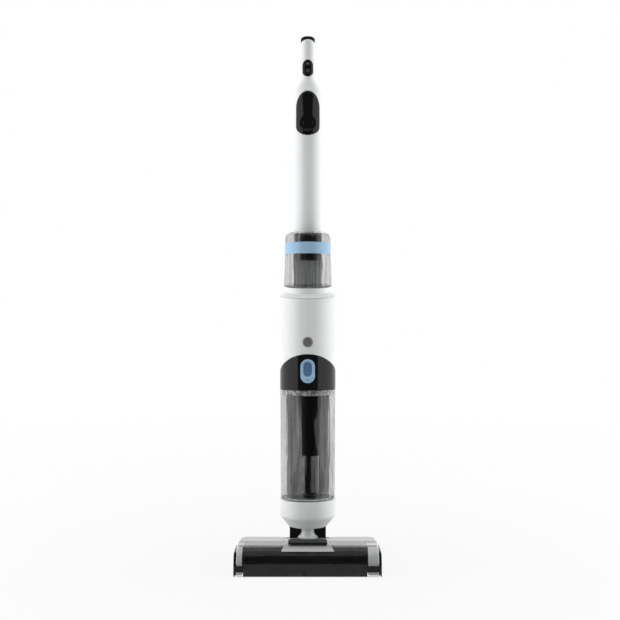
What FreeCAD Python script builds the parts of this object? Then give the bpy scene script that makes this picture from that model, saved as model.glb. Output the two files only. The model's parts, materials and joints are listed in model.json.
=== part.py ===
import FreeCAD
import Part
import math
import os

# ---------------------------------------------------------------------------
# Upright wet and dry floor scrubber.
# Millimetres, +Z up, front towards -Y, origin on the floor at the middle of
# the machine's footprint.  The round body stands on its own axis, body_y.
# ---------------------------------------------------------------------------

# Overall
head_width = 287.0
head_depth = 246.0
total_height = 1105.0

# Clearances
part_gap = 0.4        # between pieces that move apart
running_gap = 0.05    # radial gap of a shaft in its bore
button_gap = 0.35     # round a button in its hole
slip_gap = 0.1        # round a piece plugged into another of the same body
cut_over = 1.0        # how far a cutting tool runs past the face it opens

# Roller
roller_radius = 25.0
nap_depth = 6.0
core_wall = 2.5
left_end_width = 19.0      # side width of the head past the fleece, idle end
right_end_width = 28.5     # side width of the head past the fleece, drive end
arm_side_gap = 2.5         # between the roller's ends and the arms that carry it
stub_radius = 4.0
stub_reach = 7.5           # length of the stub past the roller's idle end
plug_length = 13.0

# Brush cover
bumper_proud = 1.6
bumper_side = 2.5
bumper_low = 10.5
bumper_high = 22.5
side_plate_top = 45.0
side_plate_lead = 7.5      # the side plate's top corner stands this far behind its front
cover_clear = 2.6          # between the fleece and the inside of the cover
cover_wall = 2.4
cover_end_bottom = 1.4
cover_front_bottom = 5.0
cover_tail = 44.9          # rear edge behind the roller's axis
cover_fall = 3.0           # rear edge under the cover's crown
cover_lift_gap = 0.8       # under the cover's roof at its rear edge

# Tongue and latch of the brush cover
tongue_thickness = 1.5
tongue_front_half = 51.5
tongue_rear_half = 42.0
tongue_lead = 21.6         # front edge before the roller's axis
tongue_bend = 10.0         # the tongue's sides turn straight this far behind the latch's front
latch_half = 38.7
latch_lead = 6.6           # front edge before the roller's axis
latch_depth = 28.0
latch_proud = 7.0          # over the cover's crown
latch_height = 4.6
latch_roof = 1.5
latch_corner = 5.0
latch_spring_radius = 4.0
latch_spring_room = 1.5    # round the spring in the latch's pocket
latch_spring_wire = 0.7
latch_spring_turns = 2.5

# Deck and chassis tray
deck_wall = 2.4
deck_front_gap = 0.5       # behind the brush cover
deck_crest_drop = 7.0
deck_crest_lead = 12.0     # crease of the deck before the body's axis
deck_tail_drop = 19.0
deck_tail_depth = 23.0
deck_end_drop = 5.0
deck_side = 4.0            # deck inside the head's width, each side
tray_side = 5.5            # tray inside the head's width, each side
tray_wall = 2.5
floor_low = 5.0
floor_high = 8.0
firewall_gap = 9.4         # from the fleece to the rear face of the wall behind it
firewall_thickness = 3.0
arm_gap = 3.4              # between the cover's outer curve and the side arms' curve
arm_rise = 1.6             # underside of the side arms over that of the cover's ends
arm_chin = 0.6             # straight part of the side arms' underside, as a share of their radius
drive_wall = 3.0
well_half = 47.0           # half width of the yoke well
well_lead = 25.0           # front of the well before the body's axis
notch_half = 62.0          # half width of the notch the body reclines into
notch_setback = 22.0       # front of the notch behind the pitch axis
notch_sill_z = 14.0

# Squeegee, scraper and spray bar
blade_thickness = 2.5
blade_end_gap = 2.0        # squeegee inside the side arms, each end
blade_top = 12.0
scraper_end_gap = 4.0
scraper_thickness = 5.0
scraper_rise = 8.0         # tip of the comb over the roller's axis
scraper_edge = 1.5
scraper_heel = 2.0
scraper_tip_gap = 2.4      # from the fleece to the tip of the comb
spray_end_gap = 12.0
spray_size = 8.0
spray_drop = 0.8           # spray bar under the top of the wall that carries it
spray_back = 2.0           # wall left behind the spray holes
spray_hole_radius = 1.0
spray_hole_count = 8

# Brush motor, pulleys and belt
motor_radius = 14.0
motor_length = 58.0
motor_shaft_length = 23.0
motor_bore_depth = 29.0
motor_setback = 21.0       # motor's axis behind the wall behind the roller
motor_shaft_radius = 2.5
belt_offset = 11.0         # middle of the belt past the roller's drive end
roller_pulley_radius = 11.0
motor_pulley_radius = 7.0
pulley_width = 8.0
belt_margin = 1.0          # belt narrower than the pulleys, each side
belt_thickness = 1.4
belt_gap = 0.3

# Wheels
wheel_radius = 10.5
tyre_depth = 3.0
wheel_width = 16.0
wheel_inset = 31.5         # middle of a wheel inside the head's side
wheel_lead = 17.0          # wheel's axle before the head's rear edge
wheel_axle_radius = 2.5
wheel_side_gap = 1.0
pocket_gap = 2.0
pocket_wall = 2.5

# Neck, yoke and joints
body_y = 29.0
pitch_setback = 29.0       # pitch axis behind the body's axis
pitch_z = 26.0
pitch_pin_radius = 4.0
pin_engagement = 10.0      # length of a pitch pin inside the yoke
pitch_barrel_radius = 9.0
bracket_width = 7.0
yoke_half = 38.0
yoke_front_gap = 6.0       # behind the front of the well
yoke_plate = 9.0           # from the yoke's underside to the neck's foot
ear_lead = 4.0             # front of the yoke's ears before the body's axis
ear_top_lead = 4.0         # rear of the ears' top before the pitch axis
ear_gap = 0.8              # under the cup
neck_bore = 8.5
neck_spigot_wall = 2.0
bush_wall = 2.5
neck_foot_radius = 21.0
neck_foot_z = 42.0
neck_foot_edge = 3.0
neck_waist_radius = 13.6
neck_waist_rise = 16.0
neck_length = 26.4
neck_top_radius = 19.0
neck_foot_bow = 1.6
neck_foot_bow_rise = 1.5
neck_top_bow = 1.5
neck_top_curve = 4.0       # height of the flare under the cup
hose_radius = 10.0
hose_wall = 1.6
hose_z = 19.0
hose_end_gap = 0.5         # under the yoke

# Base cup
body_radius = 58.8
shell_wall = 2.5
cup_cone_in = 17.8         # cone's foot inside the body's radius
cup_cone_height = 21.6
cup_wall_height = 35.0
seat_thickness = 3.4
duct_wall = 2.0

# Dirty tank
tank_inset = 0.8           # tank's top edge inside the body's radius
tank_draft = 1.5           # tank's foot inside its top edge
tank_foot_edge = 5.0
tank_wall = 2.2
tank_height = 228.6
tank_floor = 2.5
riser_x = 5.5
riser_lead = 5.0           # riser's axis before the body's axis
riser_radius = 17.8
riser_wall = 1.6
riser_height = 89.6
column_inset = 0.4         # column's foot inside the riser's radius
column_top_radius = 21.0
column_wall = 1.8
column_lean = 1.2
column_plate = 2.0
column_top_gap = 1.0       # under the tank's edge
drain_x = 6.0              # drain hole from the column's axis
drain_y = -8.0
drain_radius = 5.5
inlet_pipe_radius = 6.5
inlet_pipe_wall = 1.5
inlet_pipe_rise = 60.0     # over the riser
seal_height = 6.0

# Tank lid, arched on top
lid_inset = 0.2            # lid inside the body's radius
lid_wall = 2.6
lid_side_height = 44.0
lid_arch_rise = 30.0
arch_overhang = 3.0        # the arch's curve is drawn this much past the body
arch_cut = 2.0             # the arch is cut this much past the body
lid_skirt = 12.0
lid_skirt_gap = 0.8
lid_port_radius = 14.0
column_lip = 2.0           # lid's opening over the column inside the column's bore
filter_radius = 26.0
filter_rise = 8.0          # over the tank's edge
filter_drop = 24.0         # under the arch's crest
filter_base = 6.0
float_radius = 11.0
float_wall = 1.5
float_height = 24.0
float_travel = 15.0
float_top_gap = 3.0
float_bar_half = 1.5       # half width of the crossed bars under the float
float_bar_height = 2.0

# Release button on the lid
release_half = 14.7
release_rise = 15.0        # over the tank's edge
release_length = 49.0
release_proud = 1.2
release_depth = 7.0
release_travel = 3.0
thumb_inset = 3.6
thumb_low = 12.0
thumb_high = 4.0
thumb_depth = 3.0

# Main body
body_over_arch = 122.0     # shoulder seam on the body's axis over the arch's crest
seat_tilt = 8.0            # shoulder and clean-tank seat slope down to the front
seam_edge = 1.0            # upright edge of the shoulder before its chamfer
shoulder_height = 7.7
collar_inset = 13.5        # collar inside the body's radius
shoulder_step = 2.2        # shoulder's inner edge outside the collar
collar_top = 19.6          # above the seam, square to the sloping seat
valve_radius = 8.0
valve_lead = 15.0
grey_button_radius = 10.25
grey_button_rise = 25.0    # over the arch's crest
grey_button_proud = 0.6
grey_button_depth = 6.0
button_wall_reach = 3.0

# Suction motor and fan
can_radius = 34.0
can_rise = 5.0             # over the arch's crest
can_height = 67.0
can_wall = 2.0
fan_radius = 27.0
fan_rise = 5.0             # over the motor's foot
fan_height = 8.0
fan_room = 2.0             # round and over the fan
fan_plate = 1.5
fan_hub = 4.0
fan_blade_overlap = 1.0
fan_blade_half = 0.6
fan_shaft_radius = 2.5
fan_shaft_length = 34.0
fan_blade_count = 9
exhaust_count = 6
exhaust_radius = 5.0
exhaust_pitch_radius = 22.0

# Electrics
cell_radius = 9.1
cell_length = 65.0
cell_pitch_x = 19.2
cell_pitch_z = 65.2
cell_rows = 3
cell_side_gap = 1.1        # between the cells and the back shell
board_thickness = 1.6
board_half = 30.0
board_overlap = 5.0        # length of the board against the bulkhead's back wall
board_height = 100.0
pump_width = 30.0
pump_depth = 24.0
pump_height = 20.0
pump_head_radius = 9.0
pump_head_length = 10.0
contact_width = 6.0
contact_height = 12.0
contact_depth = 4.0
contact_x = 9.0
contact_rise = 10.0        # over the cup's cone
vent_count = 7
vent_pitch = 7.0
vent_height = 3.2
vent_half = 22.0
vent_rise = 22.0           # over the motor's foot

# Clean tank
clean_foot_inset = 8.3     # tank's foot inside the body's radius
clean_draft = 2.3
clean_wall = 2.2
clean_back = 20.5          # flat back of the tank behind the body axis
clean_height = 133.4       # over the shoulder seam on the body's axis
clean_dome = 13.0
band_rise = 86.0
band_height = 24.0
band_thickness = 0.8
cap_x = 4.0
cap_lead = 11.0
cap_radius = 20.0
cap_length = 58.4
cap_hole_radius = 16.0
cap_bore = 11.0
cap_roof = 4.0

# Pole and grip
pole_setback = 18.0        # pole's axis behind the body's axis
pole_radius = 30.3
pole_wall = 2.5
pole_gap = 0.6             # over the clean tank
pole_spine_gap = 0.7       # behind the clean tank
pole_foot = 4.0            # pole's spine under the shoulder seam
grip_length = 87.5
taper_length = 38.0
grip_radius = 15.2
grip_wall = 2.2
grip_edge = 5.0
front_shell_side_drop = 19.0
front_shell_top_drop = 4.5
lens_side = 5.5            # lens inside the pole's radius
lens_over_taper = 3.5
lens_length = 94.0
lens_foot_height = 20.0
lens_head_height = 33.0
lens_proud = 0.8
lens_depth = 1.8
panel_side = 3.9           # panel inside the grip's radius
panel_length = 36.0
panel_proud = 0.8
panel_depth = 1.0
power_button_drop = 9.4    # under the panel's top
mode_button_rise = 12.0    # over the panel's foot
key_radius = 4.0
key_proud = 0.5
key_depth = 5.0

# Screws
screw_head_radius = 3.2
screw_head_height = 1.8
screw_sink = 0.4           # head under the shell's skin
screw_radius = 1.5
screw_length = 14.0
boss_radius = 4.0
deck_screw_front_in = 43.0     # inside the tray's side
deck_screw_rear_in = 53.0
deck_screw_left_y = 21.0       # behind the deck's front edge
deck_screw_right_y = 41.0
deck_screw_rear_lead = 46.0    # before the wheels' axle
body_screw_x = 31.0
body_screw_low_rise = 45.0     # over the cup
body_screw_mid_drop = 98.0     # under the side of the arch
body_screw_top_rise = 17.0     # over the side of the arch

# Floor head: places worked out from the sizes above
head_front = -head_depth / 2
head_rear = head_depth / 2
core_radius = roller_radius - nap_depth
core_bore = core_radius - core_wall
cover_radius = roller_radius + cover_clear + cover_wall
roller_z = roller_radius
roller_y = head_front + bumper_proud + cover_radius
roller_left = -head_width / 2 + left_end_width
roller_right = head_width / 2 - right_end_width
cover_half = head_width / 2 - bumper_side
cover_rear_y = roller_y + cover_tail
cover_rear_z = roller_z + cover_radius - cover_fall
tongue_front_y = roller_y - tongue_lead
latch_front_y = roller_y - latch_lead
latch_rear_y = latch_front_y + latch_depth
latch_top = roller_z + cover_radius + latch_proud
latch_low = latch_top - latch_height
deck_half = head_width / 2 - deck_side
tray_half = head_width / 2 - tray_side
deck_front_y = cover_rear_y + deck_front_gap
deck_front_z = cover_rear_z
deck_crest_y = body_y - deck_crest_lead
deck_crest_z = deck_front_z - deck_crest_drop
deck_tail_y = head_rear - deck_tail_depth
deck_tail_z = deck_crest_z - deck_tail_drop
deck_end_z = deck_tail_z - deck_end_drop
firewall_y = roller_y + roller_radius + firewall_gap
firewall_top = cover_rear_z - cover_wall - cover_lift_gap
left_arm_x = roller_left - arm_side_gap
drive_inner_x = roller_right + arm_side_gap
stub_left_x = roller_left - stub_reach
belt_x = roller_right + belt_offset
motor_y = firewall_y + motor_setback
scraper_z = roller_z + scraper_rise
spray_z = firewall_top - spray_drop - spray_size / 2
wheel_hub_radius = wheel_radius - tyre_depth
wheel_x = head_width / 2 - wheel_inset
wheel_y = head_rear - wheel_lead
pitch_y = body_y + pitch_setback
well_front_y = body_y - well_lead
notch_front_y = pitch_y + notch_setback
deck_screws_at = [(deck_screw_front_in - tray_half, deck_front_y + deck_screw_left_y),
                  (tray_half - deck_screw_front_in, deck_front_y + deck_screw_right_y),
                  (deck_screw_rear_in - tray_half, wheel_y - deck_screw_rear_lead),
                  (tray_half - deck_screw_rear_in, wheel_y - deck_screw_rear_lead)]

# Neck, cup and dirty tank: places
yoke_front_y = well_front_y + yoke_front_gap
yoke_low = neck_foot_z - yoke_plate
ear_front_y = body_y - ear_lead
neck_spigot_radius = neck_bore + neck_spigot_wall
bush_radius = neck_spigot_radius + bush_wall
neck_waist_z = neck_foot_z + neck_waist_rise
hose_bend = yoke_low - hose_end_gap - hose_z
cup_low = neck_foot_z + neck_length
cup_low_radius = body_radius - cup_cone_in
cup_cone_z = cup_low + cup_cone_height
cup_top = cup_cone_z + cup_wall_height
contact_z = cup_cone_z + contact_rise
body_inner = body_radius - shell_wall
cell_ring = body_inner - cell_side_gap - cell_radius
cell_y = body_y + math.sqrt(cell_ring ** 2 - (cell_pitch_x / 2) ** 2)
spine_y = cell_y - cell_radius - slip_gap - shell_wall
tank_back_y = spine_y - part_gap
tank_low = cup_top + part_gap
tank_split = tank_low + tank_height
tank_top_radius = body_radius - tank_inset
tank_foot_radius = tank_top_radius - tank_draft
riser_y = body_y - riser_lead
riser_top = tank_low + riser_height
column_foot_radius = riser_radius - column_inset

# Lid and main body: places
lid_radius = body_radius - lid_inset
lid_side_z = tank_split + lid_side_height
lid_crest_z = lid_side_z + lid_arch_rise
float_low = tank_split - float_top_gap - float_travel - float_height
filter_low = tank_split + filter_rise
filter_high = lid_crest_z - filter_drop
release_low = tank_split + release_rise
release_high = release_low + release_length
seam_z = lid_crest_z + body_over_arch
collar_radius = body_radius - collar_inset
shoulder_radius = collar_radius + shoulder_step
grey_button_z = lid_crest_z + grey_button_rise
can_low = lid_crest_z + can_rise
can_high = can_low + can_height
fan_low = can_low + fan_rise
board_low = can_low - board_overlap
board_high = board_low + board_height
vent_low = can_low + vent_rise
body_screw_heights = [cup_top + body_screw_low_rise, lid_side_z - body_screw_mid_drop,
                      lid_side_z + body_screw_top_rise]

# Clean tank, pole and grip: places
clean_foot_radius = body_radius - clean_foot_inset
clean_radius = clean_foot_radius - clean_draft
clean_top = seam_z + clean_height
band_low = seam_z + band_rise
band_high = band_low + band_height
cap_y = body_y - cap_lead
cap_low = clean_top - cap_length
pole_y = body_y + pole_setback
pole_low = clean_top + pole_gap
spine_front_y = body_y + clean_back + pole_spine_gap
taper_high = total_height - grip_length
taper_low = taper_high - taper_length
taper_mid_z = (taper_low + taper_high) / 2
taper_arc = ((taper_high - taper_low) ** 2 + (pole_radius - grip_radius) ** 2) / (
    4 * (pole_radius - grip_radius))
front_shell_side_z = total_height - front_shell_side_drop
front_shell_top_z = total_height - front_shell_top_drop
lens_half = pole_radius - lens_side
lens_high = taper_low + lens_over_taper
lens_low = lens_high - lens_length
panel_half = grip_radius - panel_side
panel_low = taper_high
panel_high = panel_low + panel_length
power_button_z = panel_high - power_button_drop
mode_button_z = panel_low + mode_button_rise
far = 2000.0               # past every end of the machine


# ---------------------------------------------------------------------------
# Helpers
# ---------------------------------------------------------------------------
def box(x0, x1, y0, y1, z0, z1):
    corner = FreeCAD.Vector(x0, y0, z0)
    return Part.makeBox(x1 - x0, y1 - y0, z1 - z0, corner)


def post(radius, z0, z1, x=0.0, y=body_y):
    return Part.makeCylinder(radius, z1 - z0, FreeCAD.Vector(x, y, z0))


def rod_x(radius, x0, x1, y, z):
    start = FreeCAD.Vector(x0, y, z)
    return Part.makeCylinder(radius, x1 - x0, start, FreeCAD.Vector(1, 0, 0))


def rod_y(radius, y0, y1, x, z):
    start = FreeCAD.Vector(x, y0, z)
    return Part.makeCylinder(radius, y1 - y0, start, FreeCAD.Vector(0, 1, 0))


def outline(place, start, steps):
    """Closed wire. A step is an end point, or a pair: a point on an arc and its end point."""
    edges = []
    here = start
    for step in list(steps) + [start]:
        curved = isinstance(step[0], tuple)
        end = step[1] if curved else step
        if curved:
            edges.append(Part.Arc(place(here), place(step[0]), place(end)).toShape())
        elif end != here:
            edges.append(Part.LineSegment(place(here), place(end)).toShape())
        here = end
    return Part.Wire(edges)


def prism_x(x0, x1, start, steps):
    """Outline in (y, z), pushed from x0 to x1."""
    wire = outline(lambda p: FreeCAD.Vector(x0, p[0], p[1]), start, steps)
    return Part.Face(wire).extrude(FreeCAD.Vector(x1 - x0, 0, 0))


def prism_y(y0, y1, start, steps):
    """Outline in (x, z), pushed from y0 to y1."""
    wire = outline(lambda p: FreeCAD.Vector(p[0], y0, p[1]), start, steps)
    return Part.Face(wire).extrude(FreeCAD.Vector(0, y1 - y0, 0))


def prism_z(z0, z1, start, steps):
    """Outline in (x, y), pushed from z0 to z1."""
    wire = outline(lambda p: FreeCAD.Vector(p[0], p[1], z0), start, steps)
    return Part.Face(wire).extrude(FreeCAD.Vector(0, 0, z1 - z0))


def turned(start, steps, y=body_y, x=0.0):
    """Outline in (radius, z), turned about the vertical axis at (x, y)."""
    wire = outline(lambda p: FreeCAD.Vector(x + p[0], y, p[1]), start, steps)
    axis_point = FreeCAD.Vector(x, y, 0)
    return Part.Face(wire).revolve(axis_point, FreeCAD.Vector(0, 0, 1), 360)


def slot_y(half, z0, z1, y0, y1, grow=0.0):
    """Upright oval with round ends, pushed along Y; grow widens it all round."""
    r = half + grow
    low = z0 + half
    high = z1 - half
    return prism_y(y0, y1, (-r, low), [((0.0, low - r), (r, low)), (r, high),
                                      ((0.0, high + r), (-r, high))])


def tilted(shape):
    """Lean a shape that was made level at the seam, so that it slopes down to the front."""
    centre = FreeCAD.Vector(0, body_y, seam_z)
    return shape.rotate(centre, FreeCAD.Vector(1, 0, 0), seat_tilt)


def above_seam(height=0.0):
    """Everything above the sloping plane that lies height over the seam."""
    base = seam_z + height
    return tilted(box(-far, far, -far, far, base, base + far))


def joined(first, *others):
    return first.fuse(list(others)).removeSplitter()


def solids_of(shapes):
    return Part.makeCompound(shapes)


def mirrored_x(shape):
    return shape.mirror(FreeCAD.Vector(0, 0, 0), FreeCAD.Vector(1, 0, 0))


# ---------------------------------------------------------------------------
# Floor head: cover, roller and drive
# ---------------------------------------------------------------------------
def cover_outline(radius, front_bottom, rear_z, x0, x1):
    """Solid under the cover's curve: straight front, quarter round, slope to the rear."""
    corner = radius * math.sqrt(0.5)
    return prism_x(x0, x1, (roller_y - radius, front_bottom),
                   [(roller_y - radius, roller_z),
                    ((roller_y - corner, roller_z + corner), (roller_y, roller_z + radius)),
                    (cover_rear_y, rear_z),
                    (cover_rear_y, front_bottom)])


def cover_shell():
    """Clear cover: a hood over the roller with a closed wall at each end."""
    half = cover_half
    inner = cover_radius - cover_wall
    hood = cover_outline(cover_radius, cover_front_bottom, cover_rear_z, -half, half)
    ends = [cover_outline(cover_radius, cover_end_bottom, cover_rear_z, -half,
                          roller_left - part_gap),
            cover_outline(cover_radius, cover_end_bottom, cover_rear_z,
                          roller_right + part_gap, half)]
    hood = joined(hood, *ends)
    hollow = cover_outline(inner, cover_end_bottom - cut_over, cover_rear_z - cover_wall,
                           cover_wall - half, half - cover_wall)
    rear_slot = box(cover_wall - half, half - cover_wall, cover_rear_y - cut_over,
                    cover_rear_y + cut_over, 0, cover_rear_z - cover_wall)
    return hood.cut(hollow).cut(rear_slot)


def cover_tongue():
    """Plate over the middle of the cover, wider in front, with a window for the latch."""
    half = tongue_front_half
    top = cover_outline(cover_radius + tongue_thickness, 0, cover_rear_z + tongue_thickness,
                        -half, half)
    under = cover_outline(cover_radius, 0, cover_rear_z, -half, half)
    plan = prism_z(roller_z, latch_top, (-half, tongue_front_y),
                   [(half, tongue_front_y), (tongue_rear_half, latch_front_y + tongue_bend),
                    (tongue_rear_half, cover_rear_y), (-tongue_rear_half, cover_rear_y),
                    (-tongue_rear_half, latch_front_y + tongue_bend)])
    window = box(-latch_half - part_gap, latch_half + part_gap, latch_front_y - part_gap,
                 latch_rear_y + part_gap, roller_z, latch_top)
    return top.cut(under).common(plan).cut(window)


def cover_latch():
    """Block that is pressed down to free the cover; hollow over its spring."""
    r = latch_corner
    c = r * (1 - math.sqrt(0.5))
    x0, x1, y0, y1 = -latch_half, latch_half, latch_front_y, latch_rear_y
    block = prism_z(latch_low, latch_top, (x0 + r, y0),
                    [(x1 - r, y0), ((x1 - c, y0 + c), (x1, y0 + r)),
                     (x1, y1 - r), ((x1 - c, y1 - c), (x1 - r, y1)),
                     (x0 + r, y1), ((x0 + c, y1 - c), (x0, y1 - r)),
                     (x0, y0 + r), ((x0 + c, y0 + c), (x0 + r, y0))])
    pocket = post(latch_spring_radius + latch_spring_room, latch_low, latch_top - latch_roof,
                  0, roller_y)
    return block.cut(pocket)


def latch_spring():
    """Small coil between the top of the cover and the latch."""
    low = roller_z + cover_radius + latch_spring_wire / 2 + running_gap
    high = latch_top - latch_roof - latch_spring_wire / 2 - slip_gap
    radius = latch_spring_radius
    helix = Part.makeHelix((high - low) / latch_spring_turns, high - low, radius)
    start = FreeCAD.Vector(radius, 0, 0)
    section = Part.Wire(Part.makeCircle(latch_spring_wire / 2, start, FreeCAD.Vector(0, 1, 0)))
    coil = Part.Wire(helix).makePipeShell([section], True, True)
    coil.translate(FreeCAD.Vector(0, roller_y, low))
    return coil


def cover_bumper(side):
    """Black end bumper: a side plate with a band that wraps round the front corner."""
    outer = head_width / 2
    inner = cover_half
    reach = outer - (left_end_width if side < 0 else right_end_width)
    top_front = cover_radius - side_plate_lead
    plate = prism_x(inner, outer, (roller_y - cover_radius, cover_end_bottom),
                    [(roller_y - cover_radius, roller_z),
                     (roller_y - top_front, side_plate_top),
                     (cover_rear_y, side_plate_top), (cover_rear_y, cover_end_bottom)])
    band = box(reach, outer, head_front, roller_y - cover_radius, bumper_low, bumper_high)
    bumper = joined(plate, band)
    return mirrored_x(bumper) if side < 0 else bumper


def roller_core():
    tube = rod_x(core_radius, roller_left, roller_right, roller_y, roller_z)
    return tube.cut(rod_x(core_bore, roller_left, roller_right, roller_y, roller_z))


def roller_nap():
    sleeve = rod_x(roller_radius, roller_left, roller_right, roller_y, roller_z)
    return sleeve.cut(rod_x(core_radius, roller_left, roller_right, roller_y, roller_z))


def roller_end_cap():
    """Idle end: plug in the core with the stub that the left arm carries."""
    plug = rod_x(core_bore, roller_left, roller_left + plug_length, roller_y, roller_z)
    stub = rod_x(stub_radius, stub_left_x, roller_left, roller_y, roller_z)
    return joined(plug, stub)


def roller_pulley():
    """Drive end: plug in the core, shaft through the drive wall, and the toothed pulley."""
    plug = rod_x(core_bore, roller_right - plug_length, roller_right, roller_y, roller_z)
    shaft = rod_x(stub_radius, roller_right, belt_x + pulley_width / 2, roller_y, roller_z)
    pulley = rod_x(roller_pulley_radius, belt_x - pulley_width / 2, belt_x + pulley_width / 2,
                   roller_y, roller_z)
    return joined(plug, shaft, pulley)


def motor_pulley():
    """Small pulley on the brush motor's shaft."""
    right = belt_x + pulley_width / 2
    pulley = rod_x(motor_pulley_radius, belt_x - pulley_width / 2, right, motor_y, roller_z)
    shaft = rod_x(motor_shaft_radius, drive_inner_x - motor_shaft_length, right, motor_y, roller_z)
    return joined(pulley, shaft)


def belt_loop(grow):
    """Solid run round both pulleys, grow outside them."""
    big = roller_pulley_radius + grow
    small = motor_pulley_radius + grow
    span = motor_y - roller_y
    lean = math.asin((big - small) / span)
    across, along = math.cos(lean), math.sin(lean)
    x0 = belt_x - pulley_width / 2 + belt_margin
    x1 = belt_x + pulley_width / 2 - belt_margin
    return prism_x(x0, x1, (roller_y + big * along, roller_z + big * across),
                   [((roller_y - big, roller_z),
                     (roller_y + big * along, roller_z - big * across)),
                    (motor_y + small * along, roller_z - small * across),
                    ((motor_y + small, roller_z),
                     (motor_y + small * along, roller_z + small * across))])


def drive_belt():
    return belt_loop(belt_gap + belt_thickness).cut(belt_loop(belt_gap))


def brush_motor():
    can = rod_x(motor_radius, drive_inner_x - motor_length, drive_inner_x, motor_y, roller_z)
    bore = rod_x(motor_shaft_radius + running_gap, drive_inner_x - motor_bore_depth,
                 drive_inner_x, motor_y, roller_z)
    return can.cut(bore)


# ---------------------------------------------------------------------------
# Floor head: deck, chassis and what is fixed to it
# ---------------------------------------------------------------------------
def under_deck(drop, x0, x1, low):
    """Solid from low up to drop below the deck's top line."""
    return prism_x(x0, x1, (deck_front_y, low),
                   [(deck_front_y, deck_front_z - drop), (deck_crest_y, deck_crest_z - drop),
                    (deck_tail_y, deck_tail_z - drop),
                    (head_rear - drop, deck_end_z - drop),
                    (head_rear - drop, low)])


def well_space(grow=0.0):
    """Plan of the yoke well and of the notch the body reclines into."""
    well = box(-well_half - grow, well_half + grow, well_front_y - grow, head_rear + cut_over,
               floor_high, far)
    notch = box(-notch_half - grow, notch_half + grow, notch_front_y - grow, head_rear + cut_over,
                floor_high, far)
    return joined(well, notch)


def deck_cover():
    """Silver top shell of the head, open behind for the yoke and the reclined body."""
    half = deck_half
    shell = under_deck(0.0, -half, half, floor_high).cut(
        under_deck(deck_wall, -half, half, floor_high))
    shell = shell.cut(well_space())
    for x, y in deck_screws_at:
        boss = post(boss_radius, floor_high, deck_front_z, x, y)
        boss = boss.common(under_deck(deck_wall, -half, half, floor_high))
        shell = joined(shell, boss)
        shell = shell.cut(post(screw_radius, floor_high, floor_high + screw_length, x, y))
    return shell


def deck_screws():
    screws = []
    for x, y in deck_screws_at:
        head = post(screw_head_radius, floor_low, floor_low + screw_head_height, x, y)
        shank = post(screw_radius, floor_low + screw_head_height, floor_low + screw_length, x, y)
        screws.append(joined(head, shank))
    return solids_of(screws)


def wheel_pocket(side, grow=0.0):
    half = wheel_width / 2 + wheel_side_gap + grow
    reach = wheel_radius + pocket_gap + grow
    centre = side * wheel_x
    return box(centre - half, centre + half, wheel_y - reach, wheel_y + reach, 0, deck_front_z)


def side_arm(x0, x1, drop=0.0):
    """Cheek that carries one end of the roller, round in front."""
    r = cover_radius - arm_gap - drop
    c = r * math.sqrt(0.5)
    low = cover_end_bottom + arm_rise + drop
    return prism_x(x0, x1, (roller_y - r, roller_z),
                   [((roller_y - c, roller_z + c), (roller_y, roller_z + r)),
                    (firewall_y, firewall_top - drop),
                    (firewall_y, low), (roller_y - r * arm_chin, low)])


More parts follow.
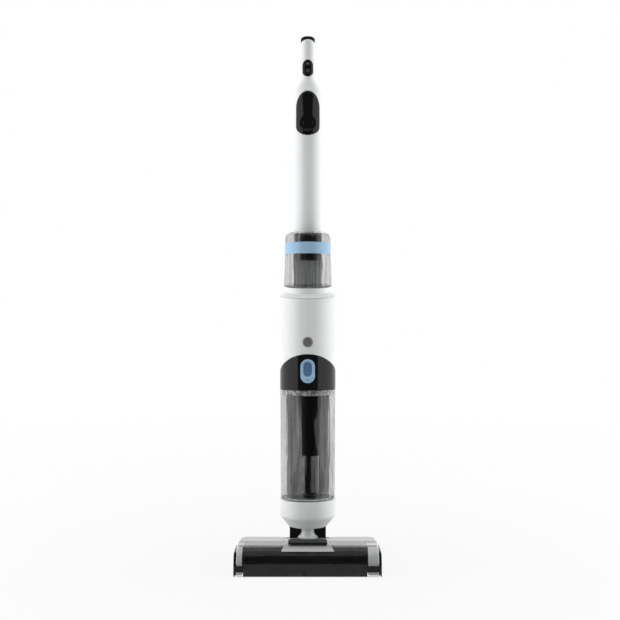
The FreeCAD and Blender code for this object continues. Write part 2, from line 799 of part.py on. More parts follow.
def head_chassis():
    """Tray of the head: floor, walls, roller arms, drive box, yoke brackets, wheel pockets."""
    inner_half = tray_half - tray_wall
    under = under_deck(deck_wall, -tray_half, tray_half, floor_low)
    room = box(-inner_half, inner_half, firewall_y, head_rear - deck_wall - tray_wall,
               floor_high, far)
    walls = under.cut(room)
    floor_front = box(-tray_half, tray_half, firewall_y, deck_front_y, floor_low, floor_high)
    firewall = box(-tray_half, tray_half, firewall_y - firewall_thickness, firewall_y,
                   floor_low, firewall_top)
    cheeks = box(-tray_half, tray_half, firewall_y, deck_front_y, floor_low, firewall_top)
    cheeks = cheeks.cut(box(-inner_half, inner_half, firewall_y, deck_front_y, 0, far))
    tray = joined(walls, floor_front, firewall, cheeks)

    # walls round the well and the notch, with a low sill behind
    well_walls = under_deck(deck_wall, -notch_half - tray_wall, notch_half + tray_wall, floor_low)
    well_walls = well_walls.common(well_space(tray_wall)).cut(well_space())
    tray = joined(tray, well_walls)
    sill_cut = box(-notch_half, notch_half, notch_front_y, head_rear, notch_sill_z, far)
    tray = tray.cut(sill_cut)

    # yoke brackets
    for side in (-1, 1):
        x0 = yoke_half + part_gap
        lug = prism_x(x0, x0 + bracket_width, (pitch_y - pitch_barrel_radius, floor_low),
                      [(pitch_y - pitch_barrel_radius, pitch_z),
                       ((pitch_y, pitch_z + pitch_barrel_radius),
                        (pitch_y + pitch_barrel_radius, pitch_z)),
                       (pitch_y + pitch_barrel_radius, floor_low)])
        tray = joined(tray, lug if side > 0 else mirrored_x(lug))
    pin_hole = rod_x(pitch_pin_radius, -well_half + part_gap, well_half - part_gap,
                     pitch_y, pitch_z)

    # arms that carry the roller; the right one is the hollow drive box
    left_arm = side_arm(-tray_half, left_arm_x)
    stub_hole = rod_x(stub_radius + running_gap, stub_left_x - part_gap, roller_left,
                      roller_y, roller_z)
    drive_outer = tray_half - drive_wall
    drive_box = side_arm(drive_inner_x, tray_half)
    drive_room = side_arm(drive_inner_x + drive_wall, drive_outer, drive_wall)
    tray = joined(tray, left_arm, drive_box)
    belt_way = box(drive_inner_x + drive_wall, drive_outer, roller_y, motor_y,
                   floor_high, firewall_top - drive_wall)
    shaft_hole = rod_x(stub_radius + running_gap, roller_right, drive_outer,
                       roller_y, roller_z)
    tray = tray.cut(drive_room).cut(belt_way).cut(shaft_hole).cut(stub_hole).cut(pin_hole)

    # wheel pockets with their axle holes, hose holes and screw holes
    for side in (-1, 1):
        walls = wheel_pocket(side, pocket_wall).common(
            under_deck(deck_wall, -inner_half, inner_half, floor_low))
        tray = joined(tray, walls)
        tray = tray.cut(wheel_pocket(side))
    for side in (-1, 1):
        tray = tray.cut(axle_rod(side))
    tray = tray.cut(rod_y(hose_radius + slip_gap, well_front_y - tray_wall - cut_over,
                          well_front_y + cut_over, 0, hose_z))
    tray = tray.cut(rod_y(hose_radius - hose_wall, firewall_y - firewall_thickness - cut_over,
                          firewall_y + cut_over, 0, hose_z))
    for x, y in deck_screws_at:
        tray = tray.cut(post(screw_radius + slip_gap, 0, floor_high + cut_over, x, y))
        tray = tray.cut(post(screw_head_radius + slip_gap, 0,
                             floor_low + screw_head_height, x, y))
    return tray


def axle_rod(side):
    half = wheel_width / 2 + wheel_side_gap + pocket_wall
    return rod_x(wheel_axle_radius, side * wheel_x - half, side * wheel_x + half,
                 wheel_y, wheel_radius)


def wheel_axles():
    return solids_of([axle_rod(-1), axle_rod(1)])


def wheel_hub(side):
    x0 = side * wheel_x - wheel_width / 2
    hub = rod_x(wheel_hub_radius, x0, x0 + wheel_width, wheel_y, wheel_radius)
    return hub.cut(rod_x(wheel_axle_radius + running_gap, x0, x0 + wheel_width,
                         wheel_y, wheel_radius))


def wheel_tyre(side):
    x0 = side * wheel_x - wheel_width / 2
    tyre = rod_x(wheel_radius, x0, x0 + wheel_width, wheel_y, wheel_radius)
    return tyre.cut(rod_x(wheel_hub_radius, x0, x0 + wheel_width, wheel_y, wheel_radius))


def pitch_pins():
    """One pin each side, fast in its bracket and running in the yoke."""
    pins = []
    for side in (-1, 1):
        outer = side * (well_half - part_gap)
        inner = side * (yoke_half - pin_engagement)
        pins.append(rod_x(pitch_pin_radius, min(outer, inner), max(outer, inner),
                          pitch_y, pitch_z))
    return solids_of(pins)


def squeegee_blade():
    """Rubber blade on the front of the firewall, down to the floor."""
    rear = firewall_y - firewall_thickness
    return box(left_arm_x + blade_end_gap, drive_inner_x - blade_end_gap,
               rear - blade_thickness, rear, 0, blade_top)


def scraper_bar():
    """Comb that presses the dirty water out of the fleece."""
    rear = firewall_y - firewall_thickness
    rise = scraper_z - roller_z
    tip = roller_y + math.sqrt((roller_radius + scraper_tip_gap) ** 2 - rise ** 2)
    low = scraper_z - scraper_thickness / 2
    return prism_x(roller_left + scraper_end_gap, roller_right - scraper_end_gap, (rear, low),
                   [(tip, scraper_z), (tip, scraper_z + scraper_edge),
                    (rear, low + scraper_thickness + scraper_heel)])


def spray_bar():
    """Square bar behind the cover's roof, with a row of small holes towards the fleece."""
    rear = firewall_y - firewall_thickness
    low = spray_z - spray_size / 2
    x0 = left_arm_x + spray_end_gap
    x1 = drive_inner_x - spray_end_gap
    bar = box(x0, x1, rear - spray_size, rear, low, low + spray_size)
    step = (x1 - x0) / spray_hole_count
    for i in range(spray_hole_count):
        x = x0 + (i + 0.5) * step
        bar = bar.cut(rod_y(spray_hole_radius, rear - spray_size, rear - spray_back, x, spray_z))
    return bar


def suction_hose():
    """Flexible hose from the mouth behind the roller to the underside of the neck."""
    bend_y = body_y - hose_bend
    c = hose_bend * math.sqrt(0.5)
    start = FreeCAD.Vector(0, firewall_y, hose_z)
    turn = FreeCAD.Vector(0, bend_y, hose_z)
    mid = FreeCAD.Vector(0, bend_y + c, hose_z + hose_bend - c)
    end = FreeCAD.Vector(0, body_y, hose_z + hose_bend)
    path = Part.Wire([Part.LineSegment(start, turn).toShape(),
                      Part.Arc(turn, mid, end).toShape()])
    rings = []
    for radius in (hose_radius, hose_radius - hose_wall):
        ring = Part.Wire(Part.makeCircle(radius, start, FreeCAD.Vector(0, 1, 0)))
        rings.append(path.makePipeShell([ring], True, True))
    return rings[0].cut(rings[1])


# ---------------------------------------------------------------------------
# Neck, yoke and base cup
# ---------------------------------------------------------------------------
def neck_solid(grow):
    """Goblet-shaped stem, grow outside its skin; its foot stands on the yoke."""
    foot = neck_foot_radius + grow
    waist = neck_waist_radius + grow
    top = neck_top_radius + grow
    edge_z = neck_foot_z + neck_foot_edge + grow
    low = neck_foot_z - grow
    return turned((0, low), [(foot, low), (foot, edge_z),
                             ((waist + neck_foot_bow,
                               (edge_z + neck_waist_z) / 2 + neck_foot_bow_rise),
                              (waist, neck_waist_z)),
                             ((waist + neck_top_bow, cup_low - neck_top_curve),
                              (top, cup_low)),
                             (0, cup_low)])


def neck_stem():
    stem = neck_solid(0.0)
    spigot = post(neck_spigot_radius, yoke_low, neck_foot_z)
    plug = post(neck_waist_radius, cup_low, cup_low + 2 * shell_wall)
    stem = joined(stem, spigot, plug)
    return stem.cut(post(neck_bore, yoke_low, cup_low + 2 * shell_wall))


def pitch_yoke():
    """Saddle behind the neck: a plate under its foot, two ears, and the barrel it pitches on."""
    half = yoke_half
    plate_top = neck_foot_z - part_gap
    ear_top = cup_low - ear_gap
    rear = pitch_y + pitch_barrel_radius
    body = prism_x(-half, half, (yoke_front_y, yoke_low),
                   [(yoke_front_y, plate_top), (ear_front_y, plate_top),
                    (ear_front_y, ear_top), (pitch_y - ear_top_lead, ear_top),
                    (rear, neck_foot_z), (rear, pitch_z),
                    ((pitch_y, pitch_z - pitch_barrel_radius),
                     (pitch_y - pitch_barrel_radius, pitch_z)),
                    (pitch_y - pitch_barrel_radius, yoke_low)])
    body = body.cut(neck_solid(part_gap))
    body = body.cut(post(bush_radius, 0, neck_foot_z))
    return body.cut(rod_x(pitch_pin_radius + running_gap, -half, half, pitch_y, pitch_z))


def swivel_bush():
    ring = post(bush_radius, yoke_low, neck_foot_z - part_gap)
    return ring.cut(post(neck_spigot_radius + running_gap, yoke_low, neck_foot_z))


def base_cup():
    """White cup: cone below, straight wall above, and the seat for the dirty tank."""
    outer = turned((0, cup_low), [(cup_low_radius, cup_low), (body_radius, cup_cone_z),
                                  (body_radius, cup_top), (0, cup_top)])
    w = shell_wall
    room = turned((0, cup_low + w), [(cup_low_radius - w / 2, cup_low + w),
                                     (body_radius - w, cup_cone_z + w / 2),
                                     (body_radius - w, cup_top - seat_thickness),
                                     (0, cup_top - seat_thickness)])
    cup = outer.cut(room)
    pipe = post(neck_bore + duct_wall, cup_low + w, cup_top - seat_thickness)
    cup = joined(cup, pipe)
    cup = cup.cut(post(neck_waist_radius, cup_low, cup_low + 2 * w))
    cup = cup.cut(post(neck_bore, cup_low, cup_top))
    for x in (-contact_x, contact_x):
        cup = cup.cut(contact_pad(x))
    return cup


def contact_pad(x):
    rear = body_y + math.sqrt(body_radius ** 2 - (contact_x + contact_width / 2) ** 2)
    half = contact_width / 2
    return box(x - half, x + half, rear - contact_depth, rear, contact_z,
               contact_z + contact_height)


def charge_contacts():
    return solids_of([contact_pad(-contact_x), contact_pad(contact_x)])


# ---------------------------------------------------------------------------
# Dirty tank, lid and what is in them
# ---------------------------------------------------------------------------
def behind(y):
    return box(-far, far, y, y + far, 0, far)


def in_front(y):
    return box(-far, far, y - far, y, 0, far)


def dirty_tank_cup():
    """Clear tank, round in front and flat behind, with the riser for the dirty water."""
    e = tank_foot_edge
    c = e * (1 - math.sqrt(0.5))
    foot, top, w = tank_foot_radius, tank_top_radius, tank_wall
    outer = turned((0, tank_low), [(foot - e, tank_low),
                                   ((foot - c, tank_low + c), (foot, tank_low + e)),
                                   (top, tank_split), (0, tank_split)])
    outer = outer.common(in_front(tank_back_y))
    base = tank_low + tank_floor
    room = turned((0, base), [(foot - e - w / 2, base), (foot - w, base + e),
                              (top - w, tank_split), (0, tank_split)])
    room = room.common(in_front(tank_back_y - w))
    tank = outer.cut(room)
    riser = post(riser_radius, base, riser_top, riser_x, riser_y)
    tank = joined(tank, riser)
    tank = tank.cut(post(riser_radius - riser_wall, base, riser_top, riser_x, riser_y))
    return tank.cut(post(neck_bore, tank_low, base, 0, body_y))


def inlet_seal():
    """Rubber plug in the foot of the riser, with the hole for the inlet pipe."""
    base = tank_low + tank_floor
    ring = post(riser_radius - riser_wall, base, base + seal_height, riser_x, riser_y)
    return ring.cut(post(inlet_pipe_radius, base, base + seal_height, 0, body_y))


def separator_column():
    """Dark tapered sleeve under the lid, with the inlet pipe and the float's bars."""
    top = tank_split - column_top_gap
    wires = []
    for inset in (0.0, column_wall):
        foot = Part.Wire(Part.makeCircle(column_foot_radius - inset,
                                         FreeCAD.Vector(riser_x, riser_y, riser_top)))
        head = Part.Wire(Part.makeCircle(column_top_radius - inset,
                                         FreeCAD.Vector(riser_x + column_lean, riser_y, top)))
        wires.append(Part.makeLoft([foot, head], True))
    sleeve = wires[0].cut(wires[1])
    base = tank_low + tank_floor
    pipe_top = riser_top + inlet_pipe_rise
    pipe = post(inlet_pipe_radius, base, pipe_top, 0, body_y)
    pipe_hole = post(inlet_pipe_radius - inlet_pipe_wall, base, pipe_top, 0, body_y)
    foot_plate = post(column_foot_radius - column_wall / 2, riser_top,
                      riser_top + column_plate, riser_x, riser_y)
    foot_plate = foot_plate.cut(post(drain_radius, riser_top, riser_top + column_plate,
                                     riser_x + drain_x, riser_y + drain_y))
    column = joined(sleeve, foot_plate, pipe, *float_bars(wires[0]))
    return column.cut(pipe_hole)


def float_bars(column):
    """Crossed bars inside the column, on which the float rests."""
    centre_x = riser_x + column_lean
    half = float_bar_half
    top = float_low - part_gap
    low = top - float_bar_height
    along = box(-far, far, riser_y - half, riser_y + half, low, top)
    across = box(centre_x - half, centre_x + half, -far, far, low, top)
    return [along.common(column), across.common(column)]


def tank_float():
    """Float that rises with the water and shuts the suction port in the column."""
    base = float_low
    centre_x = riser_x + column_lean
    body = post(float_radius, base, base + float_height, centre_x, riser_y)
    return body.cut(post(float_radius - float_wall, base, base + float_height - float_wall,
                         centre_x, riser_y))


def arch_prism(radius, drop, low, y0, y1):
    """Round column with an arched top: its crown lies drop under the lid's top line."""
    rise = lid_crest_z - lid_side_z
    bow = (body_radius ** 2 + rise ** 2) / (2 * rise)
    wide = body_radius + arch_overhang
    side = lid_crest_z - bow + math.sqrt(bow ** 2 - wide ** 2) - drop
    block = prism_y(y0, y1, (-wide, low), [(-wide, side),
                                           ((0.0, lid_crest_z - drop), (wide, side)),
                                           (wide, low)])
    return block.common(post(radius, 0, far))


def release_space(front_y, rear_y, grow):
    return slot_y(release_half, release_low, release_high, front_y, rear_y, grow)


def tank_lid():
    """Black lid with the arched top: suction port above, skirt into the tank below."""
    front = body_y - lid_radius
    w = lid_wall
    solid = arch_prism(lid_radius, 0.0, tank_split, front - cut_over, tank_back_y)
    room = arch_prism(lid_radius - w, w, tank_split + w, front, tank_back_y - w)
    lid = solid.cut(room)
    skirt_radius = tank_top_radius - tank_wall - lid_skirt_gap
    skirt = post(skirt_radius, tank_split - lid_skirt, tank_split)
    skirt = skirt.cut(post(skirt_radius - w, tank_split - lid_skirt, tank_split))
    skirt = skirt.common(in_front(tank_back_y - tank_wall - slip_gap))
    cover_back = box(-skirt_radius, skirt_radius, tank_back_y - 2 * tank_wall - slip_gap,
                     tank_back_y - tank_wall - slip_gap, tank_split - lid_skirt, tank_split)
    cover_back = cover_back.common(post(skirt_radius, 0, far))
    lid = joined(lid, skirt, cover_back)
    port = post(lid_port_radius + w, filter_high, lid_crest_z).common(solid)
    lid = joined(lid, port)
    lid = lid.cut(post(lid_port_radius, filter_high - cut_over, lid_crest_z + cut_over))
    lid = lid.cut(post(column_top_radius - column_wall - column_lip, tank_split - cut_over,
                       tank_split + w + cut_over, riser_x + column_lean, riser_y))
    # pocket for the release button, closed behind
    depth = release_depth + release_travel
    boss = release_space(front, front + depth + w, button_gap + w)
    boss = boss.common(solid)
    lid = joined(lid, boss)
    return lid.cut(release_space(front - cut_over, front + depth, button_gap))


def release_button():
    """Oval thumb button with a hollow for the thumb."""
    front = body_y - lid_radius - release_proud
    face_radius = lid_radius + release_proud
    button = release_space(front, front + release_depth, 0.0)
    button = button.common(post(face_radius, 0, far))
    thumb = slot_y(release_half - thumb_inset, release_low + thumb_low, release_high - thumb_high,
                   front - cut_over, front + thumb_depth)
    return button.cut(thumb)


def tank_filter():
    """Pleated suction filter in the lid, shown as its outer body."""
    ring = post(filter_radius, filter_low, filter_high)
    return ring.cut(post(lid_port_radius, filter_low + filter_base, filter_high))


# ---------------------------------------------------------------------------
# Main body
# ---------------------------------------------------------------------------
def body_tube():
    """Round wall of the body up to the sloping seam."""
    tube = post(body_radius, cup_top, seam_z + body_radius)
    tube = tube.cut(post(body_radius - shell_wall, cup_top, seam_z + body_radius))
    return tube.cut(above_seam())


def body_front_shell():
    """White front shell over the arch of the lid, with the hole of the grey button."""
    shell = body_tube().common(in_front(spine_y))
    arch = arch_prism(body_radius + arch_cut, -part_gap, 0, body_y - body_radius - cut_over,
                      spine_y + cut_over)
    shell = shell.cut(arch)
    front = body_y - body_radius
    return shell.cut(rod_y(grey_button_radius + button_gap, front - cut_over,
                           front + shell_wall + button_wall_reach,
                           0, grey_button_z))


def screw_places():
    return [(side * body_screw_x, z) for side in (-1, 1) for z in body_screw_heights]


def rear_cover():
    """Long back shell with screw bosses and the exhaust slots."""
    shell = body_tube().common(behind(spine_y))
    inside = post(body_radius - shell_wall, cup_top, seam_z)
    plate_rear = spine_y + shell_wall
    for x, z in screw_places():
        boss = rod_y(boss_radius, plate_rear, far, x, z).common(inside)
        shell = joined(shell, boss)
        shell = shell.cut(rod_y(screw_radius, plate_rear, far, x, z))
        shell = shell.cut(rod_y(screw_head_radius + slip_gap, screw_head_y(), far, x, z))
    for i in range(vent_count):
        z = vent_low + i * vent_pitch
        shell = shell.cut(box(-vent_half, vent_half, body_y, far, z, z + vent_height))
    return shell


def screw_holes(shape):
    for x, z in screw_places():
        shape = shape.cut(rod_y(screw_radius, spine_y, far, x, z))
    return shape


def screw_head_y():
    """Front of the sunk screw heads in the back shell."""
    skin = body_y + math.sqrt(body_radius ** 2 - (body_screw_x + screw_head_radius) ** 2)
    return skin - screw_head_height - screw_sink


def body_screws():
    screws = []
    for x, z in screw_places():
        head = rod_y(screw_head_radius, screw_head_y(), screw_head_y() + screw_head_height, x, z)
        shank = rod_y(screw_radius, spine_y + slip_gap, screw_head_y(), x, z)
        screws.append(joined(head, shank))
    return solids_of(screws)


def rear_spine():
    """Upright plate behind the dirty tank that closes the battery's channel."""
    inner = body_radius - shell_wall
    plate = box(-inner, inner, spine_y, spine_y + shell_wall, cup_top, lid_side_z)
    return screw_holes(plate.common(post(inner, cup_top, lid_side_z)))


def battery_cells():
    y = spine_y + shell_wall + slip_gap + cell_radius
    cells = []
    for side in (-0.5, 0.5):
        for row in range(cell_rows):
            z = cup_top + row * cell_pitch_z
            cells.append(post(cell_radius, z, z + cell_length, side * cell_pitch_x, y))
    return solids_of(cells)


def motor_bulkhead():
    """Arched wall over the lid that carries the suction motor round its port."""
    w = shell_wall
    inner = body_radius - shell_wall
    front = body_y - body_radius
    wall = arch_prism(inner, -part_gap - w, lid_side_z, front, spine_y)
    wall = wall.cut(arch_prism(body_radius + arch_cut, -part_gap, 0, front - cut_over,
                               spine_y + cut_over))
    seat = post(can_radius, lid_side_z, can_low)
    seat = seat.cut(arch_prism(body_radius + arch_cut, -part_gap, 0, front - cut_over, far))
    back = box(-inner, inner, spine_y, spine_y + w, lid_side_z, can_low)
    back = back.common(post(inner, 0, far))
    bulkhead = joined(wall, seat, back)
    return screw_holes(bulkhead.cut(post(lid_port_radius, 0, far)))


def suction_motor():
    """Motor block with the fan chamber below it and air channels round the winding."""
    can = post(can_radius, can_low, can_high)
    chamber_top = fan_low + fan_height + fan_room
    can = can.cut(post(fan_radius + fan_room, can_low + can_wall, chamber_top))
    can = can.cut(post(lid_port_radius, can_low, can_low + can_wall))
    can = can.cut(post(fan_shaft_radius + running_gap, chamber_top,
                       fan_low + fan_shaft_length + fan_room))
    for i in range(exhaust_count):
        turn = 2 * math.pi * i / exhaust_count
        can = can.cut(post(exhaust_radius, chamber_top - cut_over, can_high,
                           exhaust_pitch_radius * math.cos(turn),
                           body_y + exhaust_pitch_radius * math.sin(turn)))
    return can


def fan_impeller():
    """Backplate with straight blades under it, on the motor's shaft."""
    plate = post(fan_radius, fan_low + fan_height - fan_plate, fan_low + fan_height)
    hub = post(fan_shaft_radius + fan_hub, fan_low, fan_low + fan_height)
    shaft = post(fan_shaft_radius, fan_low, fan_low + fan_shaft_length)
    blades = []
    for i in range(fan_blade_count):
        blade = box(fan_shaft_radius + fan_hub - fan_blade_overlap, fan_radius - fan_blade_overlap,
                    body_y - fan_blade_half, body_y + fan_blade_half,
                    fan_low, fan_low + fan_height - fan_plate)
        blade.rotate(FreeCAD.Vector(0, body_y, 0), FreeCAD.Vector(0, 0, 1),
                     360.0 * i / fan_blade_count)
        blades.append(blade)
    return joined(plate, hub, shaft, *blades)


def main_board():
    """Control board upright behind the motor, held by the bulkhead's back wall."""
    y = spine_y + shell_wall
    return box(-board_half, board_half, y, y + board_thickness, board_low, board_high)


def water_pump():
    """Small pump on top of the suction motor, with its round head."""
    x0 = -pump_width / 2
    y0 = body_y - pump_depth / 2
    block = box(x0, x0 + pump_width, y0, y0 + pump_depth, can_high, can_high + pump_height)
    head = rod_x(pump_head_radius, x0 - pump_head_length, x0, body_y, can_high + pump_height / 2)
    return joined(block, head)


def seat_collar():
    """Sloping shoulder and collar on which the clean tank sits."""
    w = shell_wall
    top = seam_z + collar_top
    step = seam_z + shoulder_height
    outer_radius = body_radius / math.cos(math.radians(seat_tilt)) + seam_edge
    outer = tilted(turned((0, seam_z), [(outer_radius, seam_z), (shoulder_radius, step),
                                        (collar_radius, step), (collar_radius, top), (0, top)]))
    outer = outer.common(post(body_radius, 0, far))
    room = tilted(turned((0, seam_z), [(outer_radius - 2 * w, seam_z),
                                       (collar_radius - w, step - w),
                                       (collar_radius - w, top - w), (0, top - w)]))
    collar = outer.cut(room)
    collar = collar.cut(pole_spine_solid(slip_gap))
    return collar.cut(post(valve_radius + slip_gap, seam_z, far, 0, body_y - valve_lead))


def grey_button():
    front = body_y - body_radius - grey_button_proud
    button = rod_y(grey_button_radius, front, front + grey_button_depth, 0, grey_button_z)
    return button


# ---------------------------------------------------------------------------
# Clean tank
# ---------------------------------------------------------------------------
def clean_solid(inset, low, high):
    """Body of the clean tank: tapered foot, straight top, rounded shoulder."""
    d = clean_dome - inset
    c = d * (1 - math.sqrt(0.5))
    r = clean_radius - inset
    return turned((0, low), [(clean_foot_radius - inset, low), (r, band_low), (r, high - d),
                             ((r - c, high - c), (r - d, high)), (0, high)])


def clean_tank_shell():
    """Smoky tank, flat behind, standing on the sloping seat, with the fill hole on top."""
    w = clean_wall
    low = seam_z
    outer = clean_solid(0.0, low, clean_top).common(in_front(body_y + clean_back))
    outer = outer.common(above_seam(collar_top + part_gap))
    room = clean_solid(w, low, clean_top - w).common(in_front(body_y + clean_back - w))
    room = room.common(above_seam(collar_top + part_gap + w))
    tank = outer.cut(room)
    return tank.cut(post(cap_hole_radius, clean_top - 2 * w, clean_top + cut_over, cap_x, cap_y))


def clean_tank_band():
    """Light-blue band round the tank."""
    outer = post(clean_radius + band_thickness, band_low, band_high)
    outer = outer.common(in_front(body_y + clean_back))
    return outer.cut(post(clean_radius, band_low, band_high))


def clean_tank_cap():
    """Fill cap with its baffle sleeve, which reaches down inside the tank."""
    inside_top = clean_top - clean_wall
    sleeve = post(cap_radius, cap_low, inside_top, cap_x, cap_y)
    neck = post(cap_hole_radius, inside_top, clean_top, cap_x, cap_y)
    cap = joined(sleeve, neck)
    return cap.cut(post(cap_bore, cap_low, clean_top - cap_roof, cap_x, cap_y))


# ---------------------------------------------------------------------------
# Pole, display and grip
# ---------------------------------------------------------------------------
def pole_profile(inset, low, top):
    """Pole and grip as one turned body: straight, a double curve in, straight, rounded end."""
    big = pole_radius - inset
    small = grip_radius - inset
    mid = (big + small) / 2
    half_turn = math.asin((taper_mid_z - taper_low) / taper_arc) / 2
    up = taper_arc * math.sin(half_turn)
    out = taper_arc * (1 - math.cos(half_turn))
    edge = grip_edge
    c = edge * (1 - math.sqrt(0.5))
    return turned((0, low), [(big, low), (big, taper_low),
                             ((big - out, taper_low + up), (mid, taper_mid_z)),
                             ((small + out, taper_high - up), (small, taper_high)),
                             (small, top - edge), ((small - c, top - c), (small - edge, top)),
                             (0, top)], pole_y)


def between(z0, z1):
    return box(-far, far, -far, far, z0, z1)


def pole_spine_solid(grow=0.0):
    """Rear part of the pole that runs down behind the clean tank into the body."""
    rod = post(pole_radius + grow, seam_z - pole_foot, pole_low, 0, pole_y)
    return rod.common(behind(spine_front_y - grow))


def oval_y(half, height, z, y0, y1):
    """Upright or lying ellipse about height z, pushed along Y."""
    centre = FreeCAD.Vector(0, y0, z)
    across = FreeCAD.Vector(half, y0, z)
    up = FreeCAD.Vector(0, y0, z + height)
    ends = (up, across) if height > half else (across, up)
    edge = Part.Ellipse(ends[0], ends[1], centre).toShape()
    return Part.Face(Part.Wire(edge)).extrude(FreeCAD.Vector(0, y1 - y0, 0))


def lens_prism(y0, y1):
    """Egg-shaped outline of the display: blunt foot, straight sides, long rounded top."""
    foot_z = lens_low + lens_foot_height
    head_z = lens_high - lens_head_height
    foot = oval_y(lens_half, lens_foot_height, foot_z, y0, y1).common(between(0, foot_z))
    head = oval_y(lens_half, lens_head_height, head_z, y0, y1).common(between(head_z, far))
    return joined(box(-lens_half, lens_half, y0, y1, foot_z, head_z), foot, head)


def pole_tube():
    """White pole with its spine; a shallow window in front for the display."""
    top = total_height
    low_cap = pole_low + pole_wall
    tube = pole_profile(0.0, pole_low, top).cut(pole_profile(pole_wall, low_cap, top - pole_wall))
    tube = tube.common(between(pole_low, taper_mid_z))
    spine = pole_spine_solid()
    w = pole_wall
    spine_room = post(pole_radius - w, seam_z - pole_foot, low_cap, 0, pole_y)
    spine_room = spine_room.common(behind(spine_front_y + w))
    tube = joined(tube, spine).cut(spine_room)
    skin = pole_profile(0.0, pole_low, top).cut(pole_profile(lens_depth, pole_low, top - grip_wall))
    return tube.cut(skin.common(lens_prism(-far, pole_y)))


def display_lens():
    top = total_height
    plate = pole_profile(-lens_proud, pole_low, top).cut(
        pole_profile(lens_depth, pole_low, top - grip_wall))
    return plate.common(lens_prism(-far, pole_y))


def handle_hollow():
    top = total_height
    shell = pole_profile(0.0, pole_low, top).cut(pole_profile(grip_wall, pole_low, top - grip_wall))
    return shell.common(between(taper_mid_z, top))


def front_shell_region():
    half = pole_radius
    return prism_y(-far, pole_y, (-half, taper_low), [(half, taper_low), (half, front_shell_side_z),
                                                      ((0.0, front_shell_top_z),
                                                       (-half, front_shell_side_z))])


def panel_prism():
    return slot_y(panel_half, panel_low, panel_high, -far, pole_y)


def grip_front_shell():
    shell = handle_hollow().common(front_shell_region())
    outer = post(grip_radius + panel_proud, taper_high - cut_over, total_height, 0, pole_y)
    inner = post(grip_radius - panel_depth, taper_high - cut_over, total_height, 0, pole_y)
    shell = shell.cut(outer.cut(inner).common(panel_prism()))
    for z in (power_button_z, mode_button_z):
        shell = shell.cut(rod_y(key_radius + button_gap, -far, pole_y, 0, z))
    return shell


def grip_rear_cover():
    return handle_hollow().cut(front_shell_region())


def control_panel():
    outer = post(grip_radius + panel_proud, taper_high - cut_over, total_height, 0, pole_y)
    inner = post(grip_radius - panel_depth, taper_high - cut_over, total_height, 0, pole_y)
    panel = outer.cut(inner).common(panel_prism())
    for z in (power_button_z, mode_button_z):
        panel = panel.cut(rod_y(key_radius + button_gap, -far, pole_y, 0, z))
    return panel


def control_key(z):
    front = pole_y - grip_radius - panel_proud - key_proud
    return rod_y(key_radius, front, front + key_depth, 0, z)


# ---------------------------------------------------------------------------
# Every sub-part under its own name
# ---------------------------------------------------------------------------
pieces = {
    "head_chassis": head_chassis(),
    "deck_cover": deck_cover(),
    "deck_screws": deck_screws(),
    "squeegee_blade": squeegee_blade(),
    "scraper_bar": scraper_bar(),
    "spray_bar": spray_bar(),
    "brush_motor": brush_motor(),
    "drive_belt": drive_belt(),
    "wheel_axles": wheel_axles(),
    "pitch_pins": pitch_pins(),
    "suction_hose": suction_hose(),
    "roller_core": roller_core(),
    "roller_nap": roller_nap(),
    "roller_end_cap": roller_end_cap(),
    "roller_pulley": roller_pulley(),
    "motor_pulley": motor_pulley(),
    "cover_shell": cover_shell(),
    "cover_tongue": cover_tongue(),
    "cover_bumper_left": cover_bumper(-1),
    "cover_bumper_right": cover_bumper(1),
    "latch_spring": latch_spring(),
    "cover_latch": cover_latch(),
    "wheel_hub_left": wheel_hub(-1),
    "wheel_tyre_left": wheel_tyre(-1),
    "wheel_hub_right": wheel_hub(1),
    "wheel_tyre_right": wheel_tyre(1),
    "pitch_yoke": pitch_yoke(),
    "swivel_bush": swivel_bush(),
    "neck_stem": neck_stem(),
    "base_cup": base_cup(),
    "charge_contacts": charge_contacts(),
    "rear_spine": rear_spine(),
    "rear_cover": rear_cover(),
    "battery_cells": battery_cells(),
    "body_front_shell": body_front_shell(),
    "body_screws": body_screws(),
    "motor_bulkhead": motor_bulkhead(),
    "suction_motor": suction_motor(),
    "fan_impeller": fan_impeller(),
    "main_board": main_board(),
    "water_pump": water_pump(),
    "seat_collar": seat_collar(),
    "grey_button": grey_button(),
    "dirty_tank_cup": dirty_tank_cup(),
    "inlet_seal": inlet_seal(),
    "separator_column": separator_column(),
    "tank_float": tank_float(),
    "tank_lid": tank_lid(),
    "tank_filter": tank_filter(),
    "release_button": release_button(),
    "clean_tank_shell": clean_tank_shell(),
    "clean_tank_band": clean_tank_band(),
    "clean_tank_cap": clean_tank_cap(),
    "pole_tube": pole_tube(),
    "display_lens": display_lens(),
    "grip_front_shell": grip_front_shell(),
    "grip_rear_cover": grip_rear_cover(),
    "control_panel": control_panel(),
    "power_button": control_key(power_button_z),
    "mode_button": control_key(mode_button_z),
}

os.makedirs("parts", exist_ok=True)
for name, shape in pieces.items():
    shape.exportStep("parts/" + name + ".step")
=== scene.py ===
"""Upright wet and dry floor scrubber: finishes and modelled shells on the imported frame.

Metres, +Z up, front towards -Y.  Places come from the frame's own boxes; what a box
can't say, such as a wall or an edge, is a named value below.
"""
import json
import math
import bmesh
import bpy
from mathutils import Matrix, Vector, noise


